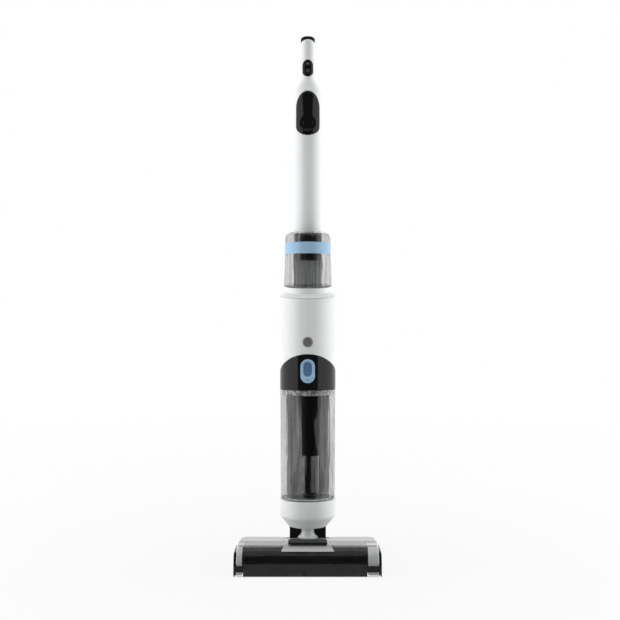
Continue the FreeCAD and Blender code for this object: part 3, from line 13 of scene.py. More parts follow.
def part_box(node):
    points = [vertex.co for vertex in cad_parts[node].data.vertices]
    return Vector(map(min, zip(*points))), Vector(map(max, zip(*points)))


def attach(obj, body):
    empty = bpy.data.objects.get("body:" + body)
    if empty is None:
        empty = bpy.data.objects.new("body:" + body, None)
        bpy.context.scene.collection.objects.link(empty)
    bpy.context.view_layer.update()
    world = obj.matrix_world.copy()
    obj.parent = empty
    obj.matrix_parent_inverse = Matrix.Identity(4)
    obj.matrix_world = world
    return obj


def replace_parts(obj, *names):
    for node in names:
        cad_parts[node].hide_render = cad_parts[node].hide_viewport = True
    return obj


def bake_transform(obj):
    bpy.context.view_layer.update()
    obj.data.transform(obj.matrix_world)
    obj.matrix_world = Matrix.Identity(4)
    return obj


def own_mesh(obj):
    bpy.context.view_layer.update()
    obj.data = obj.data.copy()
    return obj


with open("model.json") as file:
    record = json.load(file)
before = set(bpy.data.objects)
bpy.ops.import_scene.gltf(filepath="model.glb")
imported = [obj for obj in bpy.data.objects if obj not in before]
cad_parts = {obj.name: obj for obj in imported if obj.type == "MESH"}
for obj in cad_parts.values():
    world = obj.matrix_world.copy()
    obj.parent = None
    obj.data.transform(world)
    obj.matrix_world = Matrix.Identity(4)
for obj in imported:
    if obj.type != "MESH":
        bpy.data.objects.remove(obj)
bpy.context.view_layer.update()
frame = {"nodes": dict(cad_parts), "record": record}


# ---- What the frame says ----
RECORD = frame["record"]
BODY_OF = {node: body for body, nodes in RECORD["behaviour"]["bodies"].items() for node in nodes}
SLOT_OF = {part["node"]: part["material_slot"] for part in RECORD["subparts"]}


class Span:
    """A node's box at rest: its corners, middle and size."""

    def __init__(self, node):
        low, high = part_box(node)
        self.low, self.high = Vector(low), Vector(high)
        self.mid = (self.low + self.high) / 2
        self.size = self.high - self.low


CUP = Span("base_cup")
TANK = Span("dirty_tank_cup")
LID = Span("tank_lid")
FRONT = Span("body_front_shell")
REAR = Span("rear_cover")
CLEAN = Span("clean_tank_shell")
BAND = Span("clean_tank_band")
CAP = Span("clean_tank_cap")
POLE = Span("pole_tube")
LENS = Span("display_lens")
PANEL = Span("control_panel")
GRIP = Span("grip_rear_cover")
DECK = Span("deck_cover")
COVER = Span("cover_shell")
TONGUE = Span("cover_tongue")
LATCH = Span("cover_latch")
NAP = Span("roller_nap")
YOKE = Span("pitch_yoke")
NECK = Span("neck_stem")
RELEASE = Span("release_button")
DOT = Span("grey_button")
HOSE = Span("suction_hose")
COLUMN = Span("separator_column")
SEAL = Span("inlet_seal")
FILTER = Span("tank_filter")
SCREWS = Span("body_screws")
CONTACTS = Span("charge_contacts")
SPRING = Span("latch_spring")
POWER = Span("power_button")
MODE = Span("mode_button")

# The upright body
BODY = Vector((CUP.mid.x, CUP.mid.y, 0.0))      # its vertical axis
BODY_RADIUS = CUP.size.x / 2
SHELL_WALL = 0.0025
SHELL_EDGE = 0.0006                             # rounding of the shells' edges
PART_GAP = 0.0004
SEAM_GAP = 0.0002
SEAT_TILT = math.radians(8.0)
SEAM_Z = REAR.high.z - BODY_RADIUS * math.tan(SEAT_TILT)
ARCH_SIDE_Z = FRONT.low.z - PART_GAP - 0.0065    # the real arch is rounder than the frame's
ARCH_RISE = LID.high.z - ARCH_SIDE_Z
ARCH_SOFT = 0.2                                 # rounds the arch's lowest points
BACK_PLANE = TANK.high.y - BODY.y               # flat back of the dirty tank
BACK_CORNER = 0.006


# ---- Shader sums ----
class Sum:
    """A value in a material's nodes that can be used in plain sums."""

    def __init__(self, finish, socket):
        self.finish = finish
        self.socket = socket

    def _with(self, operation, first, second):
        return self.finish.node("ShaderNodeMath", {"operation": operation}, {0: first, 1: second})

    def __add__(self, other):
        return self._with("ADD", self, other)

    def __radd__(self, other):
        return self._with("ADD", other, self)

    def __sub__(self, other):
        return self._with("SUBTRACT", self, other)

    def __rsub__(self, other):
        return self._with("SUBTRACT", other, self)

    def __mul__(self, other):
        return self._with("MULTIPLY", self, other)

    def __rmul__(self, other):
        return self._with("MULTIPLY", other, self)

    def __truediv__(self, other):
        return self._with("DIVIDE", self, other)

    def __pow__(self, other):
        return self._with("POWER", self, other)

    def __abs__(self):
        return self.finish.node("ShaderNodeMath", {"operation": "ABSOLUTE"}, {0: self})

    def at_least(self, other):
        return self._with("MAXIMUM", self, other)


class Finish:
    """Node tree of a material or of the world, and one method that adds a node to it."""

    def __init__(self, name, owner=None):
        self.owner = owner or bpy.data.materials.new(name)
        self.owner.use_nodes = True
        self.tree = self.owner.node_tree
        self.tree.nodes.clear()

    def node(self, kind, settings=None, values=None, output=0):
        made = self.tree.nodes.new(kind)
        for key, value in (settings or {}).items():
            if key == "stops":
                set_stops(made.color_ramp, value)
            else:
                setattr(made, key, value)
        for key, value in (values or {}).items():
            if isinstance(value, Sum):
                self.tree.links.new(value.socket, made.inputs[key])
            else:
                made.inputs[key].default_value = value
        return Sum(self, made.outputs[output]) if made.outputs else None

    def place(self):
        """Place on the part, in metres."""
        return self.node("ShaderNodeTexCoord", output="Object")

    def along(self, axis):
        """Place on the part along one axis: 0 for X, 1 for Y, 2 for Z."""
        return self.node("ShaderNodeSeparateXYZ", {}, {0: self.place()}, output=axis)

    def ray(self, *kinds):
        """1 for rays of these kinds, such as Camera, and 0 for others."""
        found = [self.node("ShaderNodeLightPath", output="Is " + kind + " Ray") for kind in kinds]
        return sum(found[1:], found[0])

    def noise(self, size, detail=2.0, distortion=0.0, stretch=(1.0, 1.0, 1.0)):
        """Cloudy value from 0 to 1, with blotches about size across."""
        place = self.node("ShaderNodeVectorMath", {"operation": "MULTIPLY"},
                          {0: self.place(), 1: stretch})
        return self.node("ShaderNodeTexNoise", {},
                         {"Vector": place, "Scale": 1.0 / size, "Detail": detail,
                          "Distortion": distortion})

    def between(self, first, second, share):
        """Colour share of the way from first to second."""
        return self.node("ShaderNodeMix", {"data_type": "RGBA"},
                         {0: share, 6: first, 7: second}, output=2)

    def ramp(self, value, *stops):
        return self.node("ShaderNodeValToRGB", {"stops": stops}, {0: value})

    def bump(self, height, depth):
        """Surface direction with a relief of that height, depth metres deep."""
        return self.node("ShaderNodeBump", {}, {"Height": height, "Distance": depth})

    def surface(self, **values):
        names = {key.replace("_", " ").title().replace("Ior", "IOR"): value
                 for key, value in values.items()}
        return self.node("ShaderNodeBsdfPrincipled", {}, names)

    def done(self, shader, kind="ShaderNodeOutputMaterial"):
        self.node(kind, {}, {"Surface": shader})
        return self.owner

    def solid(self, base, gloss, height, depth, **extra):
        """Opaque material: colour, roughness, and a relief depth metres deep."""
        return self.done(self.surface(base_color=base, roughness=gloss,
                                      normal=self.bump(height, depth), **extra))

    def patterned(self, pattern, first, second, gloss, depth, **extra):
        """Opaque material whose colour and relief follow one pattern."""
        return self.solid(self.between(first, second, pattern), gloss, pattern, depth, **extra)

    def mixed(self, share, shader, other):
        """Shader that share of the way to the other."""
        return self.node("ShaderNodeMixShader", {}, {0: share, 1: shader, 2: other})


def set_stops(ramp, stops):
    """Stops are (place, level of grey) pairs."""
    while len(ramp.elements) < len(stops):
        ramp.elements.new(0.5)
    for element, (place, level) in zip(ramp.elements, stops):
        element.position = place
        element.color = grey(level)


def tint(r, g, b):
    return (r, g, b, 1.0)


def grey(level):
    return tint(level, level, level)


def shade(colour, share):
    return tint(*(channel * share for channel in colour[:3]))


# ---- Finishes ----
def moulded(name, colour, rough, flow=0.03, grain=0.00002, grain_size=0.0009, uneven=0.05,
            **extra):
    """Moulded plastic: faint flow marks in the colour, uneven gloss and a fine grain."""
    finish = Finish(name)
    marks = finish.noise(0.05, detail=3.0, stretch=(1.0, 1.0, 0.35))
    base = finish.between(shade(colour, 1.0 - flow), shade(colour, 1.0 + flow), marks)
    gloss = finish.noise(0.012, detail=4.0) * uneven + (rough - uneven / 2)
    return finish.solid(base, gloss, finish.noise(grain_size), grain, **extra)


def satin_silver(name):
    """Silver paint on plastic: fine flake under a thin clear coat."""
    finish = Finish(name)
    flake = finish.noise(0.0012, detail=1.0)
    base = finish.between(tint(0.40, 0.405, 0.41), tint(0.50, 0.505, 0.51),
                          flake * 0.5 + finish.noise(0.06) * 0.5)
    return finish.solid(base, flake * 0.08 + 0.30, flake, 0.00001, metallic=0.45,
                        coat_weight=0.25, coat_roughness=0.12)


def smoky_clear(name, thin, thick, ripple, ior=1.40, streaks=0.0, rim=0.0):
    """Smoke-tinted clear plastic, slightly wavy along its walls, that lets the lamps through.

    streaks is how far thin upright lines darken it: painted streaks that stand in for the
    refraction in its wavy walls.
    rim is how far its turned-away edges darken: painted shade for the dark outline a thick clear
    wall shows.
    """
    finish = Finish(name)
    # Painted streaks: thin upright dark lines that stand in for refraction in the walls
    lines = finish.ramp(finish.noise(0.0045, stretch=(1.0, 1.0, 0.03)), (0.42, 0.0), (0.58, 1.0))
    tone = finish.between(tint(thin, thin + 0.004, thin), tint(thick, thick + 0.004, thick),
                          finish.noise(0.03))
    lined = finish.between(tone, grey(thin - streaks), lines)
    # Painted shade: edges turned away from the eye darken, standing in for a thick clear wall's
    # dark outline
    turned_away = finish.ramp(finish.node("ShaderNodeLayerWeight", {}, {"Blend": 0.5}, output=1),
                              (0.70, 0.0), (0.88, 1.0))
    base = finish.between(lined, grey(thin - rim), turned_away)
    gloss = finish.noise(0.008, detail=3.0) * 0.02 + 0.015
    waves = finish.bump(finish.noise(0.010, stretch=(1.0, 1.0, 0.12)), ripple)
    glass = finish.surface(base_color=base, roughness=gloss, transmission_weight=1.0, ior=ior,
                           normal=waves)
    let_through = finish.node("ShaderNodeBsdfTransparent", {}, {"Color": grey(0.96)})
    return finish.done(finish.mixed(finish.ray("Shadow"), glass, let_through))


def soft_seal(name):
    """Milky silicone, mottled where it presses on the wall."""
    finish = Finish(name)
    blots = finish.ramp(finish.noise(0.006, detail=3.0, distortion=1.2), (0.38, 0.0), (0.62, 1.0))
    return finish.patterned(blots, tint(0.20, 0.205, 0.205), tint(0.92, 0.93, 0.93), 0.5, 0.0002)


def fleece(name):
    """Dense pile: dark fibres with paler tips and no gloss."""
    finish = Finish(name)
    tufts = finish.noise(0.0016, detail=3.0, stretch=(0.6, 1.0, 1.0))
    base = finish.between(tint(0.055, 0.055, 0.06), tint(0.17, 0.17, 0.18),
                          tufts * 0.7 + finish.noise(0.011) * 0.3)
    return finish.solid(base, 0.95, tufts, 0.0012, sheen_weight=0.4, sheen_roughness=0.6)


def brushed(name, colour, rough, stretch):
    """Turned or drawn metal, with fine lines along it."""
    finish = Finish(name)
    lines = finish.noise(0.0008, stretch=stretch)
    return finish.patterned(lines, shade(colour, 0.86), shade(colour, 1.06), lines * 0.12 + rough,
                            0.000008, metallic=1.0)


def thumb_blue(name, colour, hollow, half, low, high):
    """Satin blue with painted shade: darker in the oval hollow, which is half wide and runs between
    low and high, where shade would fall.
    """
    finish = Finish(name)
    across = finish.along(0)
    middle, reach = (low + high) / 2, (high - low) / 2 - half
    over = (abs(finish.along(2) - middle) - reach).at_least(0.0)
    away = (across * across + over * over) ** 0.5
    # Painted shade: the shade colour fills the hollow and fades to plain blue at its rim
    share = finish.ramp(away / half, (0.80, 1.0), (1.0, 0.0))
    gloss = finish.noise(0.004, detail=3.0) * 0.06 + 0.24
    return finish.solid(finish.between(colour, hollow, share), gloss, finish.noise(0.0009), 0.00002)


def ringed_grey_painted_highlight(name, centre, radius):
    """Grey moulding turned in fine rings, with a painted highlight: a paler ring round its edge
    where the bevel would catch the light.
    """
    finish = Finish(name)
    across, up = finish.along(0) - centre.x, finish.along(2) - centre.z
    away = (across * across + up * up) ** 0.5 / radius
    # Rings of darker and paler grey; the pale band from 0.82 to 0.88 is a painted highlight on the
    # bevel
    tone = finish.ramp(away, (0.0, 0.45), (0.20, 0.16), (0.38, 0.40), (0.56, 0.14), (0.74, 0.22),
                       (0.82, 0.62), (0.88, 0.62), (0.94, 0.20))
    return finish.patterned(tone, grey(0.045), grey(0.50), finish.noise(0.004) * 0.08 + 0.34,
                            0.00012)


def circuit_board(name):
    """Green lacquer with a faint maze of copper tracks under it."""
    finish = Finish(name)
    cells = finish.node("ShaderNodeTexVoronoi", {"distance": "MANHATTAN"},
                        {"Vector": finish.place(), "Scale": 260.0})
    tracks = finish.ramp(cells, (0.42, 0.0), (0.50, 1.0))
    return finish.patterned(tracks, tint(0.012, 0.10, 0.045), tint(0.03, 0.19, 0.08), 0.32, 0.00004)


def filter_paper(name):
    """Off-white pleated paper."""
    finish = Finish(name)
    fibres = finish.noise(0.0015, detail=4.0)
    return finish.patterned(fibres, tint(0.60, 0.59, 0.55), tint(0.78, 0.77, 0.73), 0.9, 0.0001)


def cell_wrap(name):
    """Shrink wrap of the battery cells, slightly wavy."""
    finish = Finish(name)
    waves = finish.noise(0.012, detail=1.0, stretch=(1.0, 1.0, 0.3))
    return finish.patterned(waves, tint(0.03, 0.20, 0.25), tint(0.04, 0.26, 0.32), 0.25, 0.0002)


LIGHT_BLUE = tint(0.36, 0.56, 0.76)
# Painted shade for the release button's thumb hollow, not a second blue of the part
HOLLOW_PAINTED_SHADE = tint(0.11, 0.21, 0.36)
NEARLY_BLACK = tint(0.006, 0.006, 0.0065)

FINISHES = {
    "white_plastic": moulded("white_plastic", tint(0.835, 0.86, 0.853), 0.30, flow=0.006),
    "black_plastic": moulded("black_plastic", tint(0.009, 0.009, 0.0095), 0.48, grain=0.00004,
                             specular_ior_level=0.25),
    "dark_plastic": moulded("dark_plastic", tint(0.028, 0.028, 0.030), 0.50, grain=0.00006),
    "grey_plastic": moulded("grey_plastic", tint(0.50, 0.51, 0.52), 0.45, grain=0.00004),
    "silver_plastic": satin_silver("silver_plastic"),
    "black_gloss": moulded("black_gloss", NEARLY_BLACK, 0.12, uneven=0.02,
                           grain=0.000002, specular_ior_level=0.42),
    "light_blue": moulded("light_blue", LIGHT_BLUE, 0.28),
    "grey_button": moulded("grey_button", grey(0.155), 0.40, grain=0.00003),
    "smoky_clear": smoky_clear("smoky_clear", 0.84, 0.96, ripple=0.0006, streaks=0.20,
                               rim=0.74),
    "fleece": fleece("fleece"),
    "rubber": moulded("rubber", tint(0.018, 0.018, 0.019), 0.75, grain=0.00008,
                      grain_size=0.0014, specular_ior_level=0.3),
    "belt_rubber": moulded("belt_rubber", grey(0.025), 0.65, grain=0.0001),
    "soft_grip": moulded("soft_grip", NEARLY_BLACK, 0.60, grain=0.00008,
                         grain_size=0.0007, specular_ior_level=0.15),
    "steel": brushed("steel", tint(0.56, 0.56, 0.57), 0.22, (1.0, 1.0, 6.0)),
    "contact_brass": brushed("contact_brass", tint(0.80, 0.60, 0.28), 0.20, (1.0, 1.0, 0.2)),
    "motor_metal": brushed("motor_metal", tint(0.42, 0.42, 0.44), 0.35, (0.4, 1.0, 1.0)),
    "cell_wrap": cell_wrap("cell_wrap"),
    "circuit_board": circuit_board("circuit_board"),
    "filter_paper": filter_paper("filter_paper"),
}


# ---- Mesh forms ----
TURN_STEPS = 144
EDGE_STEPS = 4
OVAL_STEPS = 64
FAR = 1.0                                       # past every side of the machine
WELD = 0.000004
PAST = 0.01                                     # how far a tool reaches past what it cuts
SLIVER = 0.0001                                 # keeps two faces out of one plane
PART_STEPS = 96                                 # steps round the smaller round parts
PIPE_STEPS = 64
PORT_STEPS = 72
KEY_STEPS = 48


def form(points, faces):
    """Object with that mesh, its faces turned outwards."""
    mesh = bpy.data.meshes.new("form")
    mesh.from_pydata([tuple(point) for point in points], [], faces)
    made = bmesh.new()
    made.from_mesh(mesh)
    bmesh.ops.remove_doubles(made, verts=made.verts, dist=1e-7)
    bmesh.ops.recalc_face_normals(made, faces=made.faces)
    made.to_mesh(mesh)
    made.free()
    shape = bpy.data.objects.new("form", mesh)
    bpy.context.collection.objects.link(shape)
    return shape


def loft(rings, looped=False):
    """Skin through rings of points. A ring of one point is a tip; open ends get a flat face."""
    count = max(len(ring) for ring in rings)
    points = [point for ring in rings for point in ring]
    starts = [sum(len(ring) for ring in rings[:i]) for i in range(len(rings))]
    faces = []
    for i in range(len(rings) if looped else len(rings) - 1):
        j = (i + 1) % len(rings)
        for k in range(count):
            here, there = [starts[i]], [starts[j]]
            if len(rings[i]) > 1:
                here = [starts[i] + k, starts[i] + (k + 1) % count]
            if len(rings[j]) > 1:
                there = [starts[j] + (k + 1) % count, starts[j] + k]
            faces.append(here + there)
    if not looped:
        for i in (0, len(rings) - 1):
            if len(rings[i]) > 1:
                faces.append([starts[i] + k for k in range(count)])
    return form(points, faces)


def turns(steps):
    """Angles all the way round, in even steps."""
    return [2 * math.pi * k / steps for k in range(steps)]


def spread(first, last, steps):
    """Values from first to last in even steps, both ends in."""
    return [first + (last - first) * k / steps for k in range(steps + 1)]


def rounded(*corners, steps=EDGE_STEPS):
    """Closed outline through corners (u, v, radius), each rounded to its radius."""
    outline = []
    for i, (u, v, radius) in enumerate(corners):
        corner = Vector((u, v))
        back = Vector(corners[i - 1][:2]) - corner
        on = Vector(corners[(i + 1) % len(corners)][:2]) - corner
        half = back.angle(on) / 2
        if radius <= 0 or half > math.radians(89):
            outline.append(corner)
            continue
        reach = min(radius / math.tan(half), back.length * 0.49, on.length * 0.49)
        middle = (back.normalized() + on.normalized()).normalized()
        centre = corner + middle * reach / math.cos(half)
        first = corner + back.normalized() * reach - centre
        last = corner + on.normalized() * reach - centre
        turn = first.angle(last)
        outline += [centre + (first * math.sin(turn - part) + last * math.sin(part))
                    / math.sin(turn) for part in spread(0.0, turn, steps)]
    return outline


def oblong(low, high, corner=0.0, steps=EDGE_STEPS):
    """Closed outline of a rectangle between two corners, rounded to corner."""
    return rounded((low[0], low[1], corner), (high[0], low[1], corner),
                   (high[0], high[1], corner), (low[0], high[1], corner), steps=steps)


def inset(outline, distance):
    """The same closed outline, moved inwards square to its sides."""
    area = sum(a.x * b.y - b.x * a.y for a, b in zip(outline, outline[1:] + outline[:1]))
    side = 1.0 if area > 0 else -1.0
    moved = []
    for i, point in enumerate(outline):
        before = (point - outline[i - 1]).normalized()
        after = (outline[(i + 1) % len(outline)] - point).normalized()
        along = (before + after).normalized()
        stretch = 1.0 / max(0.5, along.dot(after))
        moved.append(point + Vector((-along.y, along.x)) * side * distance * stretch)
    return moved


def edge_turn(edge, steps=EDGE_STEPS):
    """Inset and setback of a rounded edge, from the flat end to the side."""
    return [(edge * (1 - math.sin(turn)), edge * (1 - math.cos(turn)))
            for turn in spread(0.0, math.pi / 2, steps)]


AXES = {
    "x": lambda u, v, w: Vector((w, u, v)),
    "y": lambda u, v, w: Vector((u, w, v)),
    "z": lambda u, v, w: Vector((u, v, w)),
}


def stacked(axis, outline, levels):
    """Form through the outline at levels (pull, place) along an axis, pull inside itself."""
    place = AXES[axis]
    return loft([[place(p.x, p.y, w) for p in inset(outline, pull)] for pull, w in levels])


def slab(axis, outline, low, high, edge=0.0):
    """Outline pushed along an axis, with its two end edges rounded."""
    if not edge:
        return loft([[AXES[axis](p.x, p.y, w) for p in outline] for w in (low, high)])
    return stacked(axis, outline, [(pull, low + back) for pull, back in edge_turn(edge)]
                   + [(pull, high - back) for pull, back in edge_turn(edge)[::-1]])


def block(low, high, corner=0.0):
    """Box between two corners; its upright edges may be rounded."""
    return slab("z", oblong(low, high, corner), low[2], high[2])


def around(centre, turn, radius, z):
    """Point at that turn from the front, radius from the upright axis through centre."""
    return Vector((centre.x + radius * math.sin(turn), centre.y - radius * math.cos(turn), z))


def circle(centre, radius, z, steps=TURN_STEPS):
    return [around(centre, turn, radius, z) for turn in turns(steps)]


def turned(profile, centre, looped=False, steps=TURN_STEPS):
    """Profile of (radius, z) turned about the upright axis through centre."""
    return loft([circle(centre, radius, z, steps) if radius > 1e-6
                 else [Vector((centre.x, centre.y, z))] for radius, z in profile], looped)


def rod(radius, low, high, centre, steps=TURN_STEPS):
    """Upright round bar."""
    return turned([(0.0, low), (radius, low), (radius, high), (0.0, high)], centre, steps=steps)


def turned_x(profile, y, z, steps):
    """Closed profile of (radius, x) turned about the axis along X at (y, z)."""
    shape = turned(profile, Vector((0.0, 0.0)), True, steps)
    shape.data.transform(Matrix.Translation((0.0, y, z)) @ Matrix(
        ((0, 0, 1, 0), (1, 0, 0, 0), (0, 1, 0, 0), (0, 0, 0, 1))))
    return shape


def turned_y(profile, x, z, steps):
    """Profile of (radius, y) turned about the axis along Y at (x, z)."""
    shape = turned(profile, Vector((0.0, 0.0)), steps=steps)
    shape.data.transform(Matrix(((1, 0, 0, x), (0, 0, 1, 0), (0, -1, 0, z), (0, 0, 0, 1))))
    return shape


def rod_y(radius, low, high, x, z):
    """Round bar along Y."""
    return turned_y([(0.0, low), (radius, low), (radius, high), (0.0, high)], x, z, KEY_STEPS)


def with_tool(shape, tool, operation):
    """Joins shape with the tool, cuts it or keeps what they share; the tool is used up."""
    step = shape.modifiers.new("cut", "BOOLEAN")
    step.operation = operation
    step.solver = "EXACT"
    step.object = tool
    graph = bpy.context.evaluated_depsgraph_get()
    result = bpy.data.meshes.new_from_object(shape.evaluated_get(graph))
    shape.modifiers.remove(step)
    shape.data = result
    bpy.data.objects.remove(tool)
    return welded(shape)


def welded(shape):
    """The form without the hair-thin faces that a cut can leave."""
    made = bmesh.new()
    made.from_mesh(shape.data)
    bmesh.ops.remove_doubles(made, verts=made.verts, dist=WELD)
    bmesh.ops.dissolve_degenerate(made, dist=WELD, edges=made.edges)
    made.to_mesh(shape.data)
    made.free()
    return shape


def cut(shape, *tools):
    for tool in tools:
        with_tool(shape, tool, "DIFFERENCE")
    return shape


def joined(shape, *others):
    for other in others:
        with_tool(shape, other, "UNION")
    return shape


def shared(shape, tool):
    return with_tool(shape, tool, "INTERSECT")


def grouped(shape, *others):
    """One object of several forms that don't touch."""
    made = bmesh.new()
    for one in (shape,) + others:
        made.from_mesh(one.data)
    made.to_mesh(shape.data)
    made.free()
    for other in others:
        bpy.data.objects.remove(other)
    return shape


def facing(outline, y):
    """Outline of (x, z) stood up at y."""
    return [Vector((p.x, y, p.y)) for p in outline]


def disc(radius, z, steps):
    """Round outline of (x, z) about that height, from its lowest point."""
    return [Vector((radius * math.sin(turn), z - radius * math.cos(turn)))
            for turn in turns(steps)]


def on_front(centre, radius, x, z, depth=0.0):
    """Point at (x, z), depth behind the front of an upright cylinder."""
    return Vector((x, centre.y - math.sqrt(radius ** 2 - x ** 2) + depth, z))


def lifted(ring, height):
    """Ring with each point at the height worked out for it."""
    return [Vector((p.x, p.y, height(p))) for p in ring]


# ---- Pieces: forms with their name, body and finish ----
def detail(name, shape, body, slot, smooth=38.0, finish=None):
    """Form as a piece of the machine, riding on a body; finish is its own, if not the slot's."""
    shape.name = name
    shape.data.name = name
    shape.data.materials.clear()
    shape.data.materials.append(finish or FINISHES[slot])
    shape.data.shade_smooth()
    shape.data.set_sharp_from_angle(angle=math.radians(smooth))
    shape.modifiers.new("even_faces", "WEIGHTED_NORMAL").keep_sharp = True
    if body:
        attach(shape, body)
    return shape


def stand_in(name, shape, node, smooth=38.0, finish=None):
    """Form shown in place of the plain node."""
    detail(name, shape, BODY_OF[node], SLOT_OF[node], smooth, finish)
    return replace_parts(shape, node)


OWN_FINISHES = {"rear_spine": moulded("spine_grey", tint(0.80, 0.81, 0.81), 0.50)}
for node_name, node in frame["nodes"].items():
    for held in node.material_slots:
        held.link = "OBJECT"
        held.material = OWN_FINISHES.get(node_name, FINISHES[SLOT_OF[node_name]])


# ---- Shapes shared by several pieces ----
def flat_backed(radius, z, back=BACK_PLANE, corner=BACK_CORNER):
    """Ring round the body's axis, flattened behind the plane back with rounded corners."""
    ring = circle(BODY, radius, z)
    for point in ring:
        over = point.y - BODY.y - back
        if over > corner:
            point.y = BODY.y + back
        elif over > -corner:
            point.y -= (over + corner) ** 2 / (4 * corner)
    return ring


def seat_z(y, rise=0.0):
    """Height over the sloping seam plane at y."""
    return SEAM_Z + (y - BODY.y) * math.tan(SEAT_TILT) + rise / math.cos(SEAT_TILT)


def arch_z(x, drop=0.0):
    """Top line of the lid's arch at x."""
    across = min(abs(x) / BODY_RADIUS, 1.0)
    rise = math.sqrt(1.0 - across ** 2 + ARCH_SOFT ** 2) - ARCH_SOFT
    return ARCH_SIDE_Z + ARCH_RISE * rise / (math.sqrt(1.0 + ARCH_SOFT ** 2) - ARCH_SOFT) - drop


def curved_wall(first, last, low, high, steps, split):
    """Upright wall of the body between two turns, its ends flat at y = split.

    low and high give its edges at a point.
    """
    inner, outer = BODY_RADIUS - SHELL_WALL, BODY_RADIUS
    rings = []
    for turn in spread(first, last, steps):
        skin = around(BODY, turn, outer, 0.0)
        z0, z1 = low(skin), high(skin)
        section = rounded((inner, z0, 0.0), (outer, z0, SHELL_EDGE), (outer, z1, SHELL_EDGE),
                          (inner, z1, 0.0), steps=3)
        ring = [around(BODY, turn, r, z) for r, z in section]
        if turn in (first, last):
            for point, (r, z) in zip(ring, section):
                side = math.copysign(math.sqrt(r ** 2 - (split - BODY.y) ** 2), point.x)
                point.x, point.y = side, split
        rings.append(ring)
    return loft(rings)


def oval(half, low, high):
    """Upright oval with round ends, as (x, z), from its lowest point."""
    half = min(half, (high - low) / 2)
    points = []
    for turn in turns(OVAL_STEPS):
        x, rise = math.sin(turn) * half, -math.cos(turn) * half
        points.append(Vector((x, rise + (high - half if rise > 1e-9 else low + half))))
    return points


def toward(outline, goal, share):
    return [a.lerp(b, share) for a, b in zip(outline, goal)]


# ---- Floor head: clear cover, tongue, latch and bumpers ----
ROLLER_Y, ROLLER_Z = NAP.mid.y, NAP.mid.z
ROLLER_RADIUS = NAP.size.z / 2
COVER_RADIUS = COVER.high.z - ROLLER_Z
COVER_WALL = 0.0024
COVER_REAR_DROP = 0.003
COVER_CORNER = 0.006
COVER_FRONT_Z = 0.0014
RIB_TURNS = (math.radians(12), math.radians(36))    # grooves round the cover's curve
RIB_DEPTH = 0.0007
RIB_HALF = 0.0011
FILM = 0.0006
SIDES = ("left", "right")


def cover_line(radius, steps=24):
    """Cover's line from its front foot to its rear edge, as (y, z)."""
    line = [Vector((ROLLER_Y - radius * math.cos(turn), ROLLER_Z + radius * math.sin(turn)))
            for turn in spread(0.0, math.pi / 2, steps)]
    rear = Vector((COVER.high.y, COVER.high.z - COVER_REAR_DROP - COVER_RADIUS + radius))
    return line + [line[-1].lerp(rear, share) for share in (0.25, 0.5, 0.75, 1.0)]


def cover_outline(pull, foot):
    """Side outline of the cover, pull inside its skin, as (y, z)."""
    line = cover_line(COVER_RADIUS - pull)
    return [Vector((line[0].x, foot))] + line + [Vector((line[-1].x, foot))]


def hull(span, outline, wall, corner):
    """Body across the machine, and the room inside its wall, open below."""
    return (slab("x", outline(0.0, span.low.z), span.low.x, span.high.x, corner),
            slab("x", outline(wall, span.low.z - PAST), span.low.x + wall, span.high.x - wall,
                 corner - wall))


def groove(turn):
    """Bar that cuts a shallow groove along the cover at that turn behind its crown."""
    y = ROLLER_Y - COVER_RADIUS * math.sin(turn)
    z = ROLLER_Z + COVER_RADIUS * math.cos(turn)
    outline = [Vector((y + RIB_HALF * a, z + RIB_DEPTH * b))
               for a, b in ((-1, 0), (0, -1), (1, 0), (1, 1.5), (-1, 1.5))]
    return slab("x", outline, COVER.low.x + COVER_CORNER, COVER.high.x - COVER_CORNER)


def cover_shell():
    """Smoky hood over the roller with closed ends that reach lower than its front."""
    hood, room = hull(COVER, cover_outline, COVER_WALL, COVER_CORNER)
    rear = block((COVER.low.x + COVER_WALL, COVER.high.y - 0.006, -PAST),
                 (COVER.high.x - COVER_WALL, COVER.high.y + PAST,
                  COVER.high.z - COVER_REAR_DROP - COVER_WALL))
    front = block((NAP.low.x, COVER.low.y - PAST, -PAST), (NAP.high.x, ROLLER_Y, COVER_FRONT_Z))
    return cut(hood, room, rear, front, *[groove(turn) for turn in RIB_TURNS])


def cover_film(gap, foot, low, high):
    """Thin film inside the hood's curve, gap from its wall, from foot up and over."""
    outer = cover_line(COVER_RADIUS - COVER_WALL - gap)
    inner = cover_line(COVER_RADIUS - COVER_WALL - gap - FILM)
    outline = [Vector((outer[0].x, foot))] + outer[:-1]
    outline += inner[-2::-1] + [Vector((inner[0].x, foot))]
    return slab("x", outline, low, high, 0.0002)


stand_in("clear_cover", cover_shell(), "cover_shell", smooth=25,
         finish=smoky_clear("hood_clear", 0.70, 0.76, 0.0001, ior=1.24))
# Black film over the fleece alone, painted shade that darkens the dark fleece further where it lies
# in the hood's shade, so the hood's ends stay clear
detail("hood_shade_film", cover_film(0.0001, COVER_FRONT_Z + 0.0002, NAP.low.x - 0.0004,
                                 NAP.high.x + 0.0004), "brush_cover", "black_plastic")

TONGUE_THICK = TONGUE.high.z - COVER.high.z
TONGUE_REAR_HALF = TONGUE.size.x / 2 - 0.0095
TONGUE_BEND_Y = LATCH.low.y + 0.010
WINDOW_GAP = 0.0005


def tongue_half(y):
    """Half width of the tongue at y: wider in front of the bend."""
    share = min(1.0, max(0.0, (TONGUE_BEND_Y - y) / (TONGUE_BEND_Y - TONGUE.low.y)))
    return TONGUE_REAR_HALF + (TONGUE.size.x / 2 - TONGUE_REAR_HALF) * share


